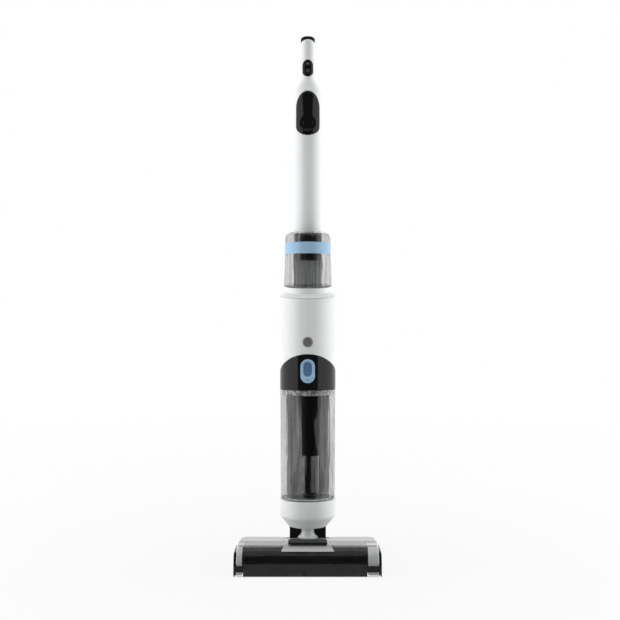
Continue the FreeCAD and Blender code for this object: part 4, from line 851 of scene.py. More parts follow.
def cover_tongue():
    """Silver plate wrapped over the middle of the cover, open round the latch."""
    outer = [p for p in cover_line(COVER_RADIUS + TONGUE_THICK, 40) if p.x > TONGUE.low.y]
    rings = []
    for point in outer:
        foot = Vector((ROLLER_Y, ROLLER_Z)) if point.x < ROLLER_Y else Vector((point.x, ROLLER_Z))
        down = (foot - point).normalized()
        half = tongue_half(point.x)
        low = point + down * (TONGUE_THICK - SLIVER)
        section = rounded((-half, 0.0, 0.0), (-half, 1.0, 0.4), (half, 1.0, 0.4),
                          (half, 0.0, 0.0))
        rings.append([Vector((s.x, *low.lerp(point, s.y))) for s in section])
    plate = loft(rings)
    window = block((LATCH.low.x - WINDOW_GAP, LATCH.low.y - WINDOW_GAP, ROLLER_Z),
                   (LATCH.high.x + WINDOW_GAP, LATCH.high.y + WINDOW_GAP, LATCH.high.z), 0.0055)
    return cut(plate, window)


stand_in("silver_tongue", cover_tongue(), "cover_tongue")


def cover_latch():
    """Long black key with a raised rim round its top."""
    low, high = LATCH.low.z, LATCH.high.z
    levels = [(0.0003, low), (0.0, low + 0.0003), (0.0, high - 0.0012), (0.0003, high - 0.0005),
              (0.0009, high - 0.0001), (0.0014, high), (0.0022, high), (0.0026, high - 0.0003),
              (0.0032, high - 0.0006), (0.0045, high - 0.0006)]
    return stacked("z", oblong(LATCH.low, LATCH.high, 0.005, steps=6), levels)


SPRING_WIRE = 0.0004
SPRING_TURNS = 5
SPRING_ROOM = 0.0006                            # between the spring and the key's hollow


def coil(span, wire, count, steps=24, sides=8):
    """Upright compression spring inside span, with its ends pressed nearly flat."""
    radius = span.size.x / 2 - wire
    climb = span.size.z - 2 * wire
    rings = []
    for share in spread(0.0, 1.0, count * steps):
        turn = 2 * math.pi * count * share
        out = Vector((math.cos(turn), math.sin(turn), 0.0))
        eased = share - math.sin(2 * math.pi * share) / (2 * math.pi) * 0.6
        middle = Vector((span.mid.x, span.mid.y, span.low.z + wire + climb * eased))
        rings.append([middle + out * (radius + wire * math.cos(lean))
                      + Vector((0.0, 0.0, wire * math.sin(lean))) for lean in turns(sides)])
    return loft(rings)


key_room = block((SPRING.low.x - SPRING_ROOM, SPRING.low.y - SPRING_ROOM, LATCH.low.z - PAST),
                 (SPRING.high.x + SPRING_ROOM, SPRING.high.y + SPRING_ROOM,
                  SPRING.high.z + SLIVER))
stand_in("cover_key", cut(cover_latch(), key_room), "cover_latch")
key_spring = stand_in("key_spring", coil(SPRING, SPRING_WIRE, SPRING_TURNS), "latch_spring")
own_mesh(key_spring)


def bumper(node):
    """Soft black end piece: side plate with a band that wraps round the front corner."""
    span = Span(node)
    side = 1.0 if span.mid.x > 0 else -1.0
    outer = max(abs(span.low.x), abs(span.high.x))
    inner = COVER.high.x
    reach = min(abs(span.low.x), abs(span.high.x))
    band_low, band_high, top = 0.0105, 0.0225, span.high.z
    plate = rounded((COVER.low.y, span.low.z, 0.002), (COVER.low.y, ROLLER_Z, 0.004),
                    (COVER.low.y + 0.0075, top, 0.006), (COVER.high.y, top, 0.002),
                    (COVER.high.y, span.low.z, 0.002))
    ends = sorted((side * (inner + SLIVER), side * outer))
    wall = slab("x", plate, ends[0], ends[1], 0.0007)
    wrap = rounded((side * (outer - 0.001), COVER.low.y + 0.008, 0.0),
                   (side * outer, COVER.low.y + 0.008, 0.0), (side * outer, span.low.y, 0.0055),
                   (side * reach, span.low.y, 0.0006), (side * reach, COVER.low.y - SLIVER, 0.0),
                   (side * (outer - 0.001), COVER.low.y - SLIVER, 0.0042), steps=6)
    return joined(wall, slab("z", wrap, band_low, band_high, 0.0004))


for side_name in SIDES:
    node_name = "cover_bumper_" + side_name
    stand_in("end_bumper_" + side_name, bumper(node_name), node_name)


# Pale plates over the cheeks that carry the roller, seen through the hood's clear ends
ARM_ENDS = {"left": (COVER.low.x + 0.0028, NAP.low.x - 0.0025),
            "right": (NAP.high.x + 0.0025, COVER.high.x - 0.0028)}
for side_name, ends in ARM_ENDS.items():
    detail("roller_arm_plate_" + side_name, cover_film(0.0003, 0.004, *ends), "floor_head",
           "white_plastic")


# ---- Floor head: roller, wheels, deck and hose ----
PILE_LUMP = 0.0009
PILE_STEPS = 220
PILE_END, PILE_END_DROP = 0.004, 0.003          # rounding of the sleeve's ends
SLEEVE_THICK = 0.006


def pile_radius(x, turn):
    """Radius of the fleece: lumps and a faint spiral where the pile is laid."""
    place = Vector((x * 90, math.cos(turn) * 2.2, math.sin(turn) * 2.2))
    lump = noise.noise(place) + 0.5 * noise.noise(place * 3.1)
    spiral = math.sin(turn * 2 + x * 70)
    return ROLLER_RADIUS - PILE_LUMP * (0.9 - 0.45 * lump - 0.2 * spiral)


def roller_ring(x, radii):
    return [Vector((x, ROLLER_Y + radius * math.cos(turn), ROLLER_Z + radius * math.sin(turn)))
            for radius, turn in zip(radii, turns(TURN_STEPS))]


def roller_nap():
    """Fleece sleeve with uneven pile and rounded ends."""
    core = ROLLER_RADIUS - SLEEVE_THICK
    rings = []
    for x in spread(NAP.low.x, NAP.high.x, PILE_STEPS):
        near = min(x - NAP.low.x, NAP.high.x - x)
        pull = PILE_END_DROP * max(0.0, 1 - near / PILE_END) ** 2
        rings.append(roller_ring(x, [pile_radius(x, turn) - pull for turn in turns(TURN_STEPS)]))
    rings += [roller_ring(x, [core] * TURN_STEPS) for x in (NAP.high.x, NAP.low.x)]
    return loft(rings, looped=True)


stand_in("fleece_sleeve", roller_nap(), "roller_nap", smooth=60)


def wheel_parts(side):
    """Hub with a dished face and a tyre with two shallow grooves."""
    tyre, hub = Span("wheel_tyre_" + side), Span("wheel_hub_" + side)
    y, z = tyre.mid.y, tyre.mid.z
    radius, rim = tyre.size.z / 2, hub.size.z / 2
    low, high = tyre.low.x, tyre.high.x
    edge = [(rim + 0.00005, 0.0), (radius - 0.0010, 0.0), (radius - 0.0003, 0.0004),
            (radius, 0.0012)]
    tread = [(r, low + x) for r, x in edge]
    for mid in (tyre.mid.x - 0.0025, tyre.mid.x + 0.0025):
        tread += [(radius, mid - 0.0008), (radius - 0.0008, mid - 0.0004),
                  (radius - 0.0008, mid + 0.0004), (radius, mid + 0.0008)]
    tread += [(r, high - x) for r, x in reversed(edge)]
    face = [(0.0026, low + 0.0002), (0.0042, low), (0.0048, low + 0.0012),
            (rim - 0.0012, low + 0.0012), (rim - 0.0006, low), (rim, low + 0.0003)]
    back = [(r, low + high - x) for r, x in reversed(face)]
    stand_in("tyre_" + side, turned_x(tread, y, z, PORT_STEPS), "wheel_tyre_" + side)
    stand_in("hub_" + side, turned_x(face + back, y, z, PORT_STEPS), "wheel_hub_" + side)


for side_name in SIDES:
    wheel_parts(side_name)


DECK_WALL = 0.0024
DECK_CREST = Vector((BODY.y - 0.012, DECK.high.z - 0.007))
DECK_TAIL = Vector((DECK.high.y - 0.023, DECK.high.z - 0.026))
DECK_END_Z = DECK_TAIL.y - 0.005
DECK_CORNER = 0.0045
WELL_HALF = 0.047
WELL_FRONT = BODY.y - 0.025
NOTCH_HALF = 0.062
NOTCH_FRONT = 0.080


def deck_outline(pull, foot):
    """Side outline of the deck, pull inside its skin, as (y, z)."""
    rear, top_edge = DECK.high.y - pull, 0.0 if pull else 0.0015
    return rounded((DECK.low.y, foot, 0.0), (rear, foot, 0.0), (rear, DECK_END_Z - pull, 0.002),
                   (DECK_TAIL.x, DECK_TAIL.y - pull, 0.030),
                   (DECK_CREST.x, DECK_CREST.y - pull, 0.040),
                   (DECK.low.y, DECK.high.z - pull, top_edge), steps=8)


def deck_cover():
    """Silver shell of the head, open behind for the yoke and the reclined body."""
    shell, room = hull(DECK, deck_outline, DECK_WALL, DECK_CORNER)
    mouth = block((DECK.low.x + DECK_WALL, DECK.low.y - PAST, 0.0),
                  (DECK.high.x - DECK_WALL, DECK.low.y + 0.004, DECK.high.z - DECK_WALL))
    well = rounded((-WELL_HALF, WELL_FRONT, 0.006), (WELL_HALF, WELL_FRONT, 0.006),
                   (WELL_HALF, NOTCH_FRONT, -1), (NOTCH_HALF, NOTCH_FRONT, 0.005),
                   (NOTCH_HALF, FAR, 0.0), (-NOTCH_HALF, FAR, 0.0),
                   (-NOTCH_HALF, NOTCH_FRONT, 0.005), (-WELL_HALF, NOTCH_FRONT, -1))
    return cut(shell, joined(room, mouth), slab("z", well, 0.0, FAR))


stand_in("silver_deck", deck_cover(), "deck_cover", smooth=25)


HOSE_RADIUS = HOSE.size.x / 2
HOSE_RIB = 0.0011
HOSE_PITCH = 0.0042
HOSE_WALL = 0.0022
RIB_STEPS = 6


def suction_hose():
    """Ribbed hose from the mouth behind the roller up into the neck."""
    z = HOSE.low.z + HOSE_RADIUS
    bend = HOSE.high.z - z
    run = BODY.y - bend - HOSE.low.y
    length = run + bend * math.pi / 2
    rings, bore = [], []
    for k, along in enumerate(spread(0.0, length, int(length / HOSE_PITCH) * RIB_STEPS)):
        turn = max(0.0, along - run) / bend
        middle = Vector((0, HOSE.low.y + along, z))
        if turn > 0:
            middle = Vector((0, BODY.y - bend + bend * math.sin(turn),
                             z + bend * (1 - math.cos(turn))))
        up = Vector((0, -math.sin(turn), math.cos(turn)))
        rib = 0.5 - 0.5 * math.cos(2 * math.pi * k / RIB_STEPS)
        for target, r in ((rings, HOSE_RADIUS - HOSE_RIB * rib), (bore, HOSE_RADIUS - HOSE_WALL)):
            target.append([middle + Vector((math.sin(a), 0, 0)) * r + up * math.cos(a) * r
                           for a in turns(KEY_STEPS)])
    return loft(rings + bore[::-1], looped=True)


hose = detail("ribbed_hose", suction_hose(), None, SLOT_OF["suction_hose"], smooth=70)
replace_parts(hose, "suction_hose")
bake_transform(hose)


# ---- Yoke, neck and base cup ----
NECK_FOOT_Z = NECK.low.z + 0.009
NECK_FOOT_EDGE = 0.003
NECK_TOP_Z = CUP.low.z
NECK_FOOT_RADIUS = NECK.size.x / 2
NECK_WAIST = 0.0136
NECK_TOP_RADIUS = 0.019
NECK_WAIST_Z = NECK_FOOT_Z + 0.016
SPIGOT_RADIUS = 0.0105
PIN_Y, PIN_Z = 0.058, 0.026                     # the pitch axis
PIN_HOLE = 0.00405
BUSH_HOLE = 0.013                               # hole in the yoke for the swivel's bush


def neck_profile(grow=0.0):
    """Goblet line from the foot's rim up to the cup."""
    line = [(NECK_FOOT_RADIUS - 0.0004 + grow, NECK_FOOT_Z),
            (NECK_FOOT_RADIUS + grow, NECK_FOOT_Z + 0.0004)]
    foot_z = NECK_FOOT_Z + NECK_FOOT_EDGE
    for share in spread(0.0, 1.0, 12):
        flare = (NECK_FOOT_RADIUS - NECK_WAIST) * (1 - share) ** 3
        line.append((NECK_WAIST + flare + grow, foot_z + (NECK_WAIST_Z - foot_z) * share))
    for share in spread(0.0, 1.0, 10)[1:]:
        flare = (NECK_TOP_RADIUS - NECK_WAIST) * share ** 2.2
        line.append((NECK_WAIST + flare + grow,
                     NECK_WAIST_Z + (NECK_TOP_Z - NECK_WAIST_Z) * share))
    return line


def neck_stem():
    return turned([(0.0, NECK.low.z), (SPIGOT_RADIUS, NECK.low.z), (SPIGOT_RADIUS, NECK_FOOT_Z)]
                  + neck_profile() + [(0.0, NECK_TOP_Z)], BODY, steps=PART_STEPS)


def pitch_yoke():
    """Black saddle under and behind the neck, cut away round its goblet."""
    plate_top = NECK_FOOT_Z - 0.0004
    foot_z = YOKE.high.z - 0.0346
    reach = 0.009
    side = rounded((YOKE.low.y, foot_z, 0.002), (YOKE.low.y, plate_top, 0.003),
                   (BODY.y - 0.004, plate_top, -1), (BODY.y - 0.004, YOKE.high.z, 0.003),
                   (PIN_Y - 0.004, YOKE.high.z, 0.004), (YOKE.high.y, NECK_FOOT_Z, 0.006),
                   (PIN_Y + reach, PIN_Z - reach, 0.0085), (PIN_Y - reach, PIN_Z - reach, 0.0085),
                   (PIN_Y - reach, foot_z, 0.0))
    saddle = slab("x", side, YOKE.low.x, YOKE.high.x, 0.0015)
    hollow_foot = NECK_FOOT_Z - 0.0011
    hollow = turned([(0.0, hollow_foot), (NECK_FOOT_RADIUS + 0.0002, hollow_foot)]
                    + neck_profile(0.0006) + [(0.0, NECK_TOP_Z)], BODY, steps=PART_STEPS)
    pin_hole = slab("x", oblong((PIN_Y - PIN_HOLE, PIN_Z - PIN_HOLE),
                                (PIN_Y + PIN_HOLE, PIN_Z + PIN_HOLE), 0.004),
                    YOKE.low.x - PAST, YOKE.high.x + PAST)
    return cut(saddle, hollow, rod(BUSH_HOLE, 0.0, NECK_FOOT_Z, BODY), pin_hole)


INLET_BORE = 0.0085                             # the way up from the cup into the tank
INLET_DEPTH = 0.012
CONTACT_HALF = 0.003
CUP_FOOT_RADIUS = BODY_RADIUS - 0.0178
CUP_CONE_Z = CUP.low.z + 0.0216


def base_cup():
    """White cup: cone, soft bend, straight wall, and the seat of the dirty tank on top."""
    top = CUP.high.z
    corners = [(0.0, CUP.low.z, 0.0), (CUP_FOOT_RADIUS, CUP.low.z, 0.0012),
               (BODY_RADIUS, CUP_CONE_Z, 0.012), (BODY_RADIUS, top, 0.0009),
               (BODY_RADIUS - 0.0042, top, 0.0006), (BODY_RADIUS - 0.0048, top - 0.0012, 0.0006),
               (0.0125, top - 0.0012, 0.0004), (0.0115, top, 0.0004), (INLET_BORE, top, 0.0004),
               (INLET_BORE, top - INLET_DEPTH, 0.0), (0.0, top - INLET_DEPTH, 0.0)]
    cup = turned([(max(0.0, p.x), p.y) for p in rounded(*corners, steps=6)], BODY)
    pads = []
    for side in (-1, 1):
        middle = side * (CONTACTS.high.x - CONTACT_HALF)
        outline = oblong((middle - CONTACT_HALF - SEAM_GAP, CONTACTS.low.z - SEAM_GAP),
                         (middle + CONTACT_HALF + SEAM_GAP, CONTACTS.high.z + SEAM_GAP), 0.0008)
        pads.append(slab("y", outline, CONTACTS.low.y, FAR))
    return cut(cup, *pads)


stand_in("goblet_neck", neck_stem(), "neck_stem", smooth=50)
stand_in("yoke_saddle", pitch_yoke(), "pitch_yoke")
stand_in("white_cup", base_cup(), "base_cup")


# ---- Dirty tank, its column and lid ----
TANK_WALL = 0.0022
TANK_FLOOR = 0.0025
TANK_FOOT_EDGE = 0.0055
TANK_TOP_RADIUS = TANK.size.x / 2
TANK_FLARE = 0.0015                             # the tank widens by this towards its mouth
TANK_FOOT_RADIUS = TANK_TOP_RADIUS - TANK_FLARE
RISER = SEAL.mid                                # its axis
RISER_WALL = 0.0016
RISER_RADIUS = SEAL.size.x / 2 + RISER_WALL
RISER_TOP = TANK.low.z + 0.0896
COLUMN_LEAN = 0.0012                            # how far the column's top is to one side
PIPE_RADIUS, PIPE_BORE = 0.0065, 0.0050         # inlet pipe inside the riser
PIPE_HOLE = 0.0066


def tank_rings(pull, low, high, edge):
    """Rings of the tank's body, pull inside its skin, from its foot to high."""
    corner = BACK_CORNER - pull / 2
    rings = [flat_backed(TANK_FOOT_RADIUS - pull - drop, low + rise, BACK_PLANE - pull - drop,
                         corner) for drop, rise in edge_turn(edge, 6)]
    return rings + [flat_backed(TANK_FOOT_RADIUS - pull + TANK_FLARE * share,
                                low + edge + (high - low - edge) * share, BACK_PLANE - pull,
                                corner) for share in (0.02, 0.5, 1.0)]


def dirty_tank_cup():
    """Clear tank, round in front and flat behind, with its riser."""
    top = TANK.high.z
    outer = tank_rings(0.0, TANK.low.z, top - 0.0006, TANK_FOOT_EDGE)
    lip = flat_backed(TANK_TOP_RADIUS - 0.0006, top, BACK_PLANE - 0.0006)
    inner = tank_rings(TANK_WALL, TANK.low.z + TANK_FLOOR, top, TANK_FOOT_EDGE - 0.001)
    tank = cut(loft(outer + [lip] + inner[::-1]),
               rod(INLET_BORE, TANK.low.z - PAST, TANK.low.z + 0.02, BODY))
    base = TANK.low.z + TANK_FLOOR + SLIVER
    inside = RISER_RADIUS - RISER_WALL
    riser = turned([(inside, base), (RISER_RADIUS, base), (RISER_RADIUS, RISER_TOP - 0.0004),
                    (RISER_RADIUS - 0.0004, RISER_TOP), (inside, RISER_TOP)], RISER, looped=True)
    return grouped(tank, riser)


def separator_column():
    """Dark tapered sleeve with a rim at each end, and the inlet pipe inside it."""
    foot_z, top = RISER_TOP, COLUMN.high.z
    foot, head = RISER_RADIUS - 0.0004, COLUMN.size.x / 2
    wall = 0.0018
    rings = []
    line = [(foot, 0.0, 0.0), (foot, 0.0004, 0.0), (head, 0.9985, 0.0), (head, 1.0, 0.0004),
            (head, 1.0, wall), (foot, 0.02, wall), (foot, 0.02, RISER_RADIUS - 0.0101)]
    for radius, share, pull in line:
        radius = foot + (head - foot) * share - pull
        rings.append(circle(Vector((RISER.x + COLUMN_LEAN * share, RISER.y)), radius,
                            foot_z + (top - foot_z) * share, PART_STEPS))
    sleeve = loft(rings + [circle(RISER, RISER_RADIUS - 0.0105, foot_z, PART_STEPS)],
                  looped=True)
    pipe_low, pipe_high = COLUMN.low.z, RISER_TOP + 0.060
    pipe = turned([(PIPE_BORE, pipe_low), (PIPE_RADIUS, pipe_low),
                   (PIPE_RADIUS, pipe_high - 0.0003), (PIPE_RADIUS - 0.0003, pipe_high),
                   (PIPE_BORE, pipe_high)], BODY, looped=True, steps=PIPE_STEPS)
    return grouped(sleeve, pipe)


def inlet_seal():
    """Rubber plug with two beads round its edge."""
    low, high = SEAL.low.z, SEAL.high.z
    edge = SEAL.size.x / 2
    profile = [(0.0, low), (edge - 0.0006, low), (edge, low + 0.0008), (edge - 0.0005, low + 0.002),
               (edge, low + 0.0032), (edge - 0.0005, low + 0.0045), (edge, high - 0.0008),
               (edge - 0.0006, high), (0.0, high)]
    return cut(turned(profile, RISER, steps=PART_STEPS),
               rod(PIPE_HOLE, 0.0, FAR, BODY, PIPE_STEPS))


stand_in("clear_tank", dirty_tank_cup(), "dirty_tank_cup", smooth=30)
stand_in("dark_column", separator_column(), "separator_column",
         finish=moulded("column_black", tint(0.005, 0.005, 0.0055), 0.50, specular_ior_level=0.08))
stand_in("inlet_plug", inlet_seal(), "inlet_seal")

LID_RADIUS = LID.size.x / 2
LID_WALL = 0.0026
LID_LOW = TANK.high.z
LID_EDGE = 0.0009
PORT_RADIUS = 0.014
COLUMN_HOLE = 0.0172                            # hole in the lid's underside for the column
FILTER_FOLDS = 40
BUTTON_GAP = 0.00035
RELEASE_HALF = RELEASE.size.x / 2
RELEASE_FACE = BODY.y - RELEASE.low.y           # radius of the button's face
# Half width, foot and top of the button's hollow for the thumb
HOLLOW = (RELEASE_HALF - 0.0052, RELEASE.low.z + 0.0125, RELEASE.high.z - 0.0048)
HOLLOW_DEPTH = 0.0026                           # at its rim
SKIRT_RADIUS = TANK_TOP_RADIUS - TANK_WALL - 0.0008
SKIRT_BACK = BACK_PLANE - TANK_WALL - 0.0006


def arched_solid(radius, back, foot_z, drop, edge):
    """Upright body with the flat back and the arched top, drop under the lid's top line."""
    rings = [flat_backed(radius - pull, foot_z + rise, back - pull)
             for pull, rise in edge_turn(edge or SLIVER, 2)]
    levels = [(0.0, edge)] + edge_turn(edge)[::-1] if edge else [(0.0, 0.0)]
    for pull, rise in levels:
        rings.append(lifted(flat_backed(radius - pull, 0.0, back - pull),
                            lambda p: arch_z(p.x, drop) - rise))
    for share in (0.97, 0.9, 0.75, 0.55, 0.35, 0.15):
        rings.append(lifted(flat_backed((radius - edge) * share, 0.0, (back - edge) * share,
                                        BACK_CORNER * share), lambda p: arch_z(p.x, drop)))
    rings.append([Vector((BODY.x, BODY.y, arch_z(0.0, drop)))])
    return loft(rings)


def release_slot(grow, low_y, high_y):
    """Bar with the button's oval outline."""
    outline = oval(RELEASE_HALF + grow, RELEASE.low.z - grow, RELEASE.high.z + grow)
    return slab("y", outline, low_y, high_y)


def skirt_ring(levels):
    """Upright ring inside the tank's mouth, through levels (pull, z)."""
    return loft([flat_backed(SKIRT_RADIUS - pull, z, SKIRT_BACK - pull) for pull, z in levels],
                looped=True)


def tank_lid():
    """Glossy black lid: arched top, suction port, skirt in the tank, pocket for the button."""
    shell = cut(arched_solid(LID_RADIUS, BACK_PLANE, LID_LOW + 0.0002, 0.0, LID_EDGE),
                arched_solid(LID_RADIUS - LID_WALL, BACK_PLANE - LID_WALL, LID_LOW + LID_WALL,
                             LID_WALL, 0.0))
    boss = shared(release_slot(0.003, RELEASE.low.y, RELEASE.low.y + 0.0135),
                  arched_solid(LID_RADIUS - 0.001, BACK_PLANE, LID_LOW, 0.001, 0.0))
    foot, inside, outside = FILTER.high.z, PORT_RADIUS - 0.001, PORT_RADIUS + LID_WALL
    port_wall = turned([(inside, foot), (outside, foot), (outside, LID.high.z - 0.0024),
                        (inside, LID.high.z - 0.0024)], BODY, looped=True, steps=PORT_STEPS)
    shell = joined(shell, boss, port_wall)
    port = turned([(0.0, foot - PAST), (PORT_RADIUS, foot - PAST),
                   (PORT_RADIUS, LID.high.z - 0.0012), (PORT_RADIUS + 0.002, LID.high.z + 0.001),
                   (0.0, LID.high.z + 0.001)], BODY, steps=PORT_STEPS)
    column_hole = rod(COLUMN_HOLE, 0.0, LID_LOW + 0.008,
                      Vector((RISER.x + COLUMN_LEAN, RISER.y)), PORT_STEPS)
    pocket = release_slot(BUTTON_GAP, -FAR, RELEASE.low.y + 0.0112)
    shell = cut(shell, port, column_hole, pocket)
    low = LID.low.z
    return grouped(shell, skirt_ring([(0.0, low + 0.0006), (0.0006, low), (0.0020, low),
                                      (0.0026, low + 0.0006), (0.0026, LID_LOW + SLIVER),
                                      (0.0, LID_LOW + SLIVER)]))


def release_button():
    """Oval thumb button: raised rim, and a dished hollow for the thumb in its upper part."""
    rim, hollow = oval(RELEASE_HALF, RELEASE.low.z, RELEASE.high.z), oval(*HOLLOW)
    rings = [facing(rim, RELEASE.high.y)]
    levels = [(0.0, 0.0011), (0.04, 0.0003), (0.12, 0.0), (0.62, 0.0), (0.74, 0.0004),
              (0.86, 0.0015), (1.0, HOLLOW_DEPTH)]
    for share, depth in levels:
        rings.append([on_front(BODY, RELEASE_FACE, p.x, p.y, depth)
                      for p in toward(rim, hollow, share)])
    middle = (HOLLOW[1] + HOLLOW[2]) / 2
    for share in (0.75, 0.45, 0.15):
        depth = HOLLOW_DEPTH + 0.0009 * (1 - share ** 2)
        rings.append([on_front(BODY, RELEASE_FACE, p.x * share, middle + (p.y - middle) * share,
                               depth) for p in hollow])
    return loft(rings)


def release_mark():
    """Small dark triangle under the thumb's hollow, pointing down."""
    z = RELEASE.low.z + 0.0062
    face = BODY.y - RELEASE_FACE
    outline = rounded((-0.0024, z + 0.0012, 0.0003), (0.0024, z + 0.0012, 0.0003),
                      (0.0, z - 0.0014, 0.0003))
    return slab("y", outline, face - SLIVER, face + 0.0004)


def tank_filter():
    """Ring of folded paper with a plain base."""
    low, high = FILTER.low.z, FILTER.high.z
    folds = list(enumerate(turns(2 * FILTER_FOLDS)))
    outer, inner = FILTER.size.x / 2, PORT_RADIUS + 0.0006
    levels = [(outer - pull, -0.0022, z)
              for pull, z in ((0.001, low), (0.0, low + 0.001), (0.0, high - 0.001), (0.001, high))]
    levels += [(inner, 0.0016, high), (inner, 0.0016, low + 0.006)]
    return loft([[around(BODY, turn, radius + fold * (k % 2), z) for k, turn in folds]
                 for radius, fold, z in levels])


def lid_seal():
    """Soft pale ring with a bead at each edge, stretched over the lid's skirt."""
    low, high = LID.low.z + 0.0006, LID_LOW - 0.0008
    return skirt_ring([(0.0, low), (-0.0005, low + 0.0006), (-0.0005, low + 0.0018),
                       (-0.0002, low + 0.0022), (-0.0002, high - 0.0022),
                       (-0.0005, high - 0.0018), (-0.0005, high - 0.0006), (0.0, high),
                       (0.0004, high), (0.0004, low)])


stand_in("arched_lid", tank_lid(), "tank_lid", smooth=30)
detail("lid_seal_ring", lid_seal(), "dirty_tank", "grey_plastic", finish=soft_seal("soft_seal"))
stand_in("thumb_release", release_button(), "release_button",
         finish=thumb_blue("thumb_blue", LIGHT_BLUE, HOLLOW_PAINTED_SHADE, *HOLLOW))
detail("release_arrow", release_mark(), BODY_OF["release_button"], "dark_plastic")
stand_in("pleated_filter", tank_filter(), "tank_filter", smooth=20)


# ---- White body ----
SHELL_SPLIT = math.pi - math.acos((FRONT.high.y - BODY.y) / BODY_RADIUS)
SPLIT_HALF = 0.0001
SPLIT_GAP = 0.0030 / BODY_RADIUS                # the wall's last steps, before its flat end
SCREW_X = 0.031
SCREW_HEIGHTS = (CUP.high.z + 0.045, LID_LOW - 0.054, LID_LOW + 0.061)
SCREW_PLACES = [(x, z) for z in SCREW_HEIGHTS for x in (-SCREW_X, SCREW_X)]
SCREW_HEAD = 0.0032
VENT_COUNT = 7
VENT_PITCH = 0.007
VENT_HALF = 0.022
VENT_HEIGHT = 0.0032
VENT_LOW = LID.high.z + 0.027
POLE_AXIS = Vector((0.0, BODY.y + 0.018, 0.0))
POLE_RADIUS = POLE.size.x / 2
SPINE_FRONT = CLEAN.high.y + 0.0007
VALVE_HOLE = 0.0081                             # hole in the collar for the tank's valve
VALVE_Y = BODY.y - 0.015


def body_front_shell():
    """White front of the body: its lower edge follows the lid's arch."""
    shell = curved_wall(-SHELL_SPLIT + SPLIT_GAP, SHELL_SPLIT - SPLIT_GAP,
                        lambda p: arch_z(p.x - BODY.x) + PART_GAP,
                        lambda p: seat_z(p.y) - SEAM_GAP, 180, FRONT.high.y - SPLIT_HALF)
    hole = rod_y(DOT.size.x / 2 + BUTTON_GAP, BODY.y - BODY_RADIUS - 0.004,
                 BODY.y - BODY_RADIUS + 0.006, DOT.mid.x, DOT.mid.z)
    return cut(shell, hole)


def rear_cover():
    """White back of the body with its exhaust slots and sunk screws."""
    shell = curved_wall(SHELL_SPLIT + SPLIT_GAP, 2 * math.pi - SHELL_SPLIT - SPLIT_GAP,
                        lambda p: REAR.low.z + SEAM_GAP, lambda p: seat_z(p.y) - SEAM_GAP, 96,
                        FRONT.high.y + SPLIT_HALF)
    slots = []
    for i in range(VENT_COUNT):
        z = VENT_LOW + i * VENT_PITCH
        slots.append(slab("y", oblong((-VENT_HALF, z), (VENT_HALF, z + VENT_HEIGHT), 0.00155),
                          BODY.y, FAR))
    skin = BODY.y + math.sqrt(BODY_RADIUS ** 2 - SCREW_X ** 2)
    sinks = [rod_y(SCREW_HEAD + 0.0002, BODY.y, skin + 0.004, x, z) for x, z in SCREW_PLACES]
    return cut(shell, *slots, *sinks)


def screw_heads():
    """Round screw heads with a cross in each."""
    front, rear = SCREWS.high.y - 0.0018, SCREWS.high.y
    profile = [(0.0, SCREWS.low.y), (0.0015, SCREWS.low.y), (0.0015, front), (SCREW_HEAD, front),
               (SCREW_HEAD, rear - 0.0007), (SCREW_HEAD - 0.0008, rear - 0.0001), (0.0, rear)]
    heads = []
    for x, z in SCREW_PLACES:
        bars = [slab("y", oblong((x - a, z - b), (x + a, z + b)), rear - 0.0008, rear + 0.001)
                for a, b in ((0.0019, 0.0004), (0.0004, 0.0019))]
        heads.append(cut(turned_y(profile, x, z, 32), joined(*bars)))
    return grouped(*heads)


def seat_collar():
    """Sloping shoulder, small step and collar under the clean tank."""
    step_z, top = 0.0077, 0.0196                # heights over the seam
    collar = BODY_RADIUS - 0.0135
    shoulder = collar + 0.0022
    lean = (Matrix.Translation(Vector((BODY.x, BODY.y, SEAM_Z)))
            @ Matrix.Rotation(SEAT_TILT, 4, "X"))
    on_skin = [(SEAM_GAP, 0.0025), (SEAM_GAP, 0.0004), (SEAM_GAP + 0.0004, 0.0), (0.0008, 0.0),
               (0.0011, 0.0002)]
    rings = [lifted(circle(BODY, BODY_RADIUS - pull, 0.0), lambda p: seat_z(p.y, rise))
             for rise, pull in on_skin]
    on_seat = [(shoulder + 0.0006, step_z - 0.0004), (shoulder, step_z - 0.0001),
               (shoulder - 0.0006, step_z), (collar + 0.0005, step_z), (collar, step_z + 0.0005),
               (collar, top - 0.0007), (collar - 0.0002, top - 0.0002), (collar - 0.0007, top)]
    on_seat += [(collar * share, top) for share in (0.7, 0.4, 0.1)]
    rings += [[lean @ point for point in circle(Vector((0.0, 0.0)), radius, height)]
              for radius, height in on_seat]
    shoulder_form = loft(rings + [[lean @ Vector((0.0, 0.0, top))]])
    pole_back = rod(POLE_RADIUS + 0.0003, SEAM_Z - 0.1, SEAM_Z + 0.1, POLE_AXIS)
    slot_part = block((-0.05, SPINE_FRONT - 0.0003, SEAM_Z - 0.2), (0.05, 0.15, SEAM_Z + 0.2))
    valve = rod(VALVE_HOLE, SEAM_Z, FAR, Vector((BODY.x, VALVE_Y)), KEY_STEPS)
    return cut(shoulder_form, shared(pole_back, slot_part), valve)


def grey_button():
    """Round button: raised rim, shallow dish and a small hollow in the middle."""
    radius = DOT.size.x / 2
    levels = [(1.0, 0.0018), (0.992, 0.0010), (0.97, 0.0004), (0.92, 0.0), (0.82, 0.0),
              (0.74, 0.0006), (0.6, 0.0009), (0.3, 0.0011), (0.1, 0.0012)]
    rings = [facing(disc(radius, DOT.mid.z, PORT_STEPS), DOT.high.y)]
    for share, depth in levels:
        rings.append([on_front(BODY, BODY.y - DOT.low.y, p.x, p.y, depth)
                      for p in disc(radius * share, DOT.mid.z, PORT_STEPS)])
    return loft(rings)


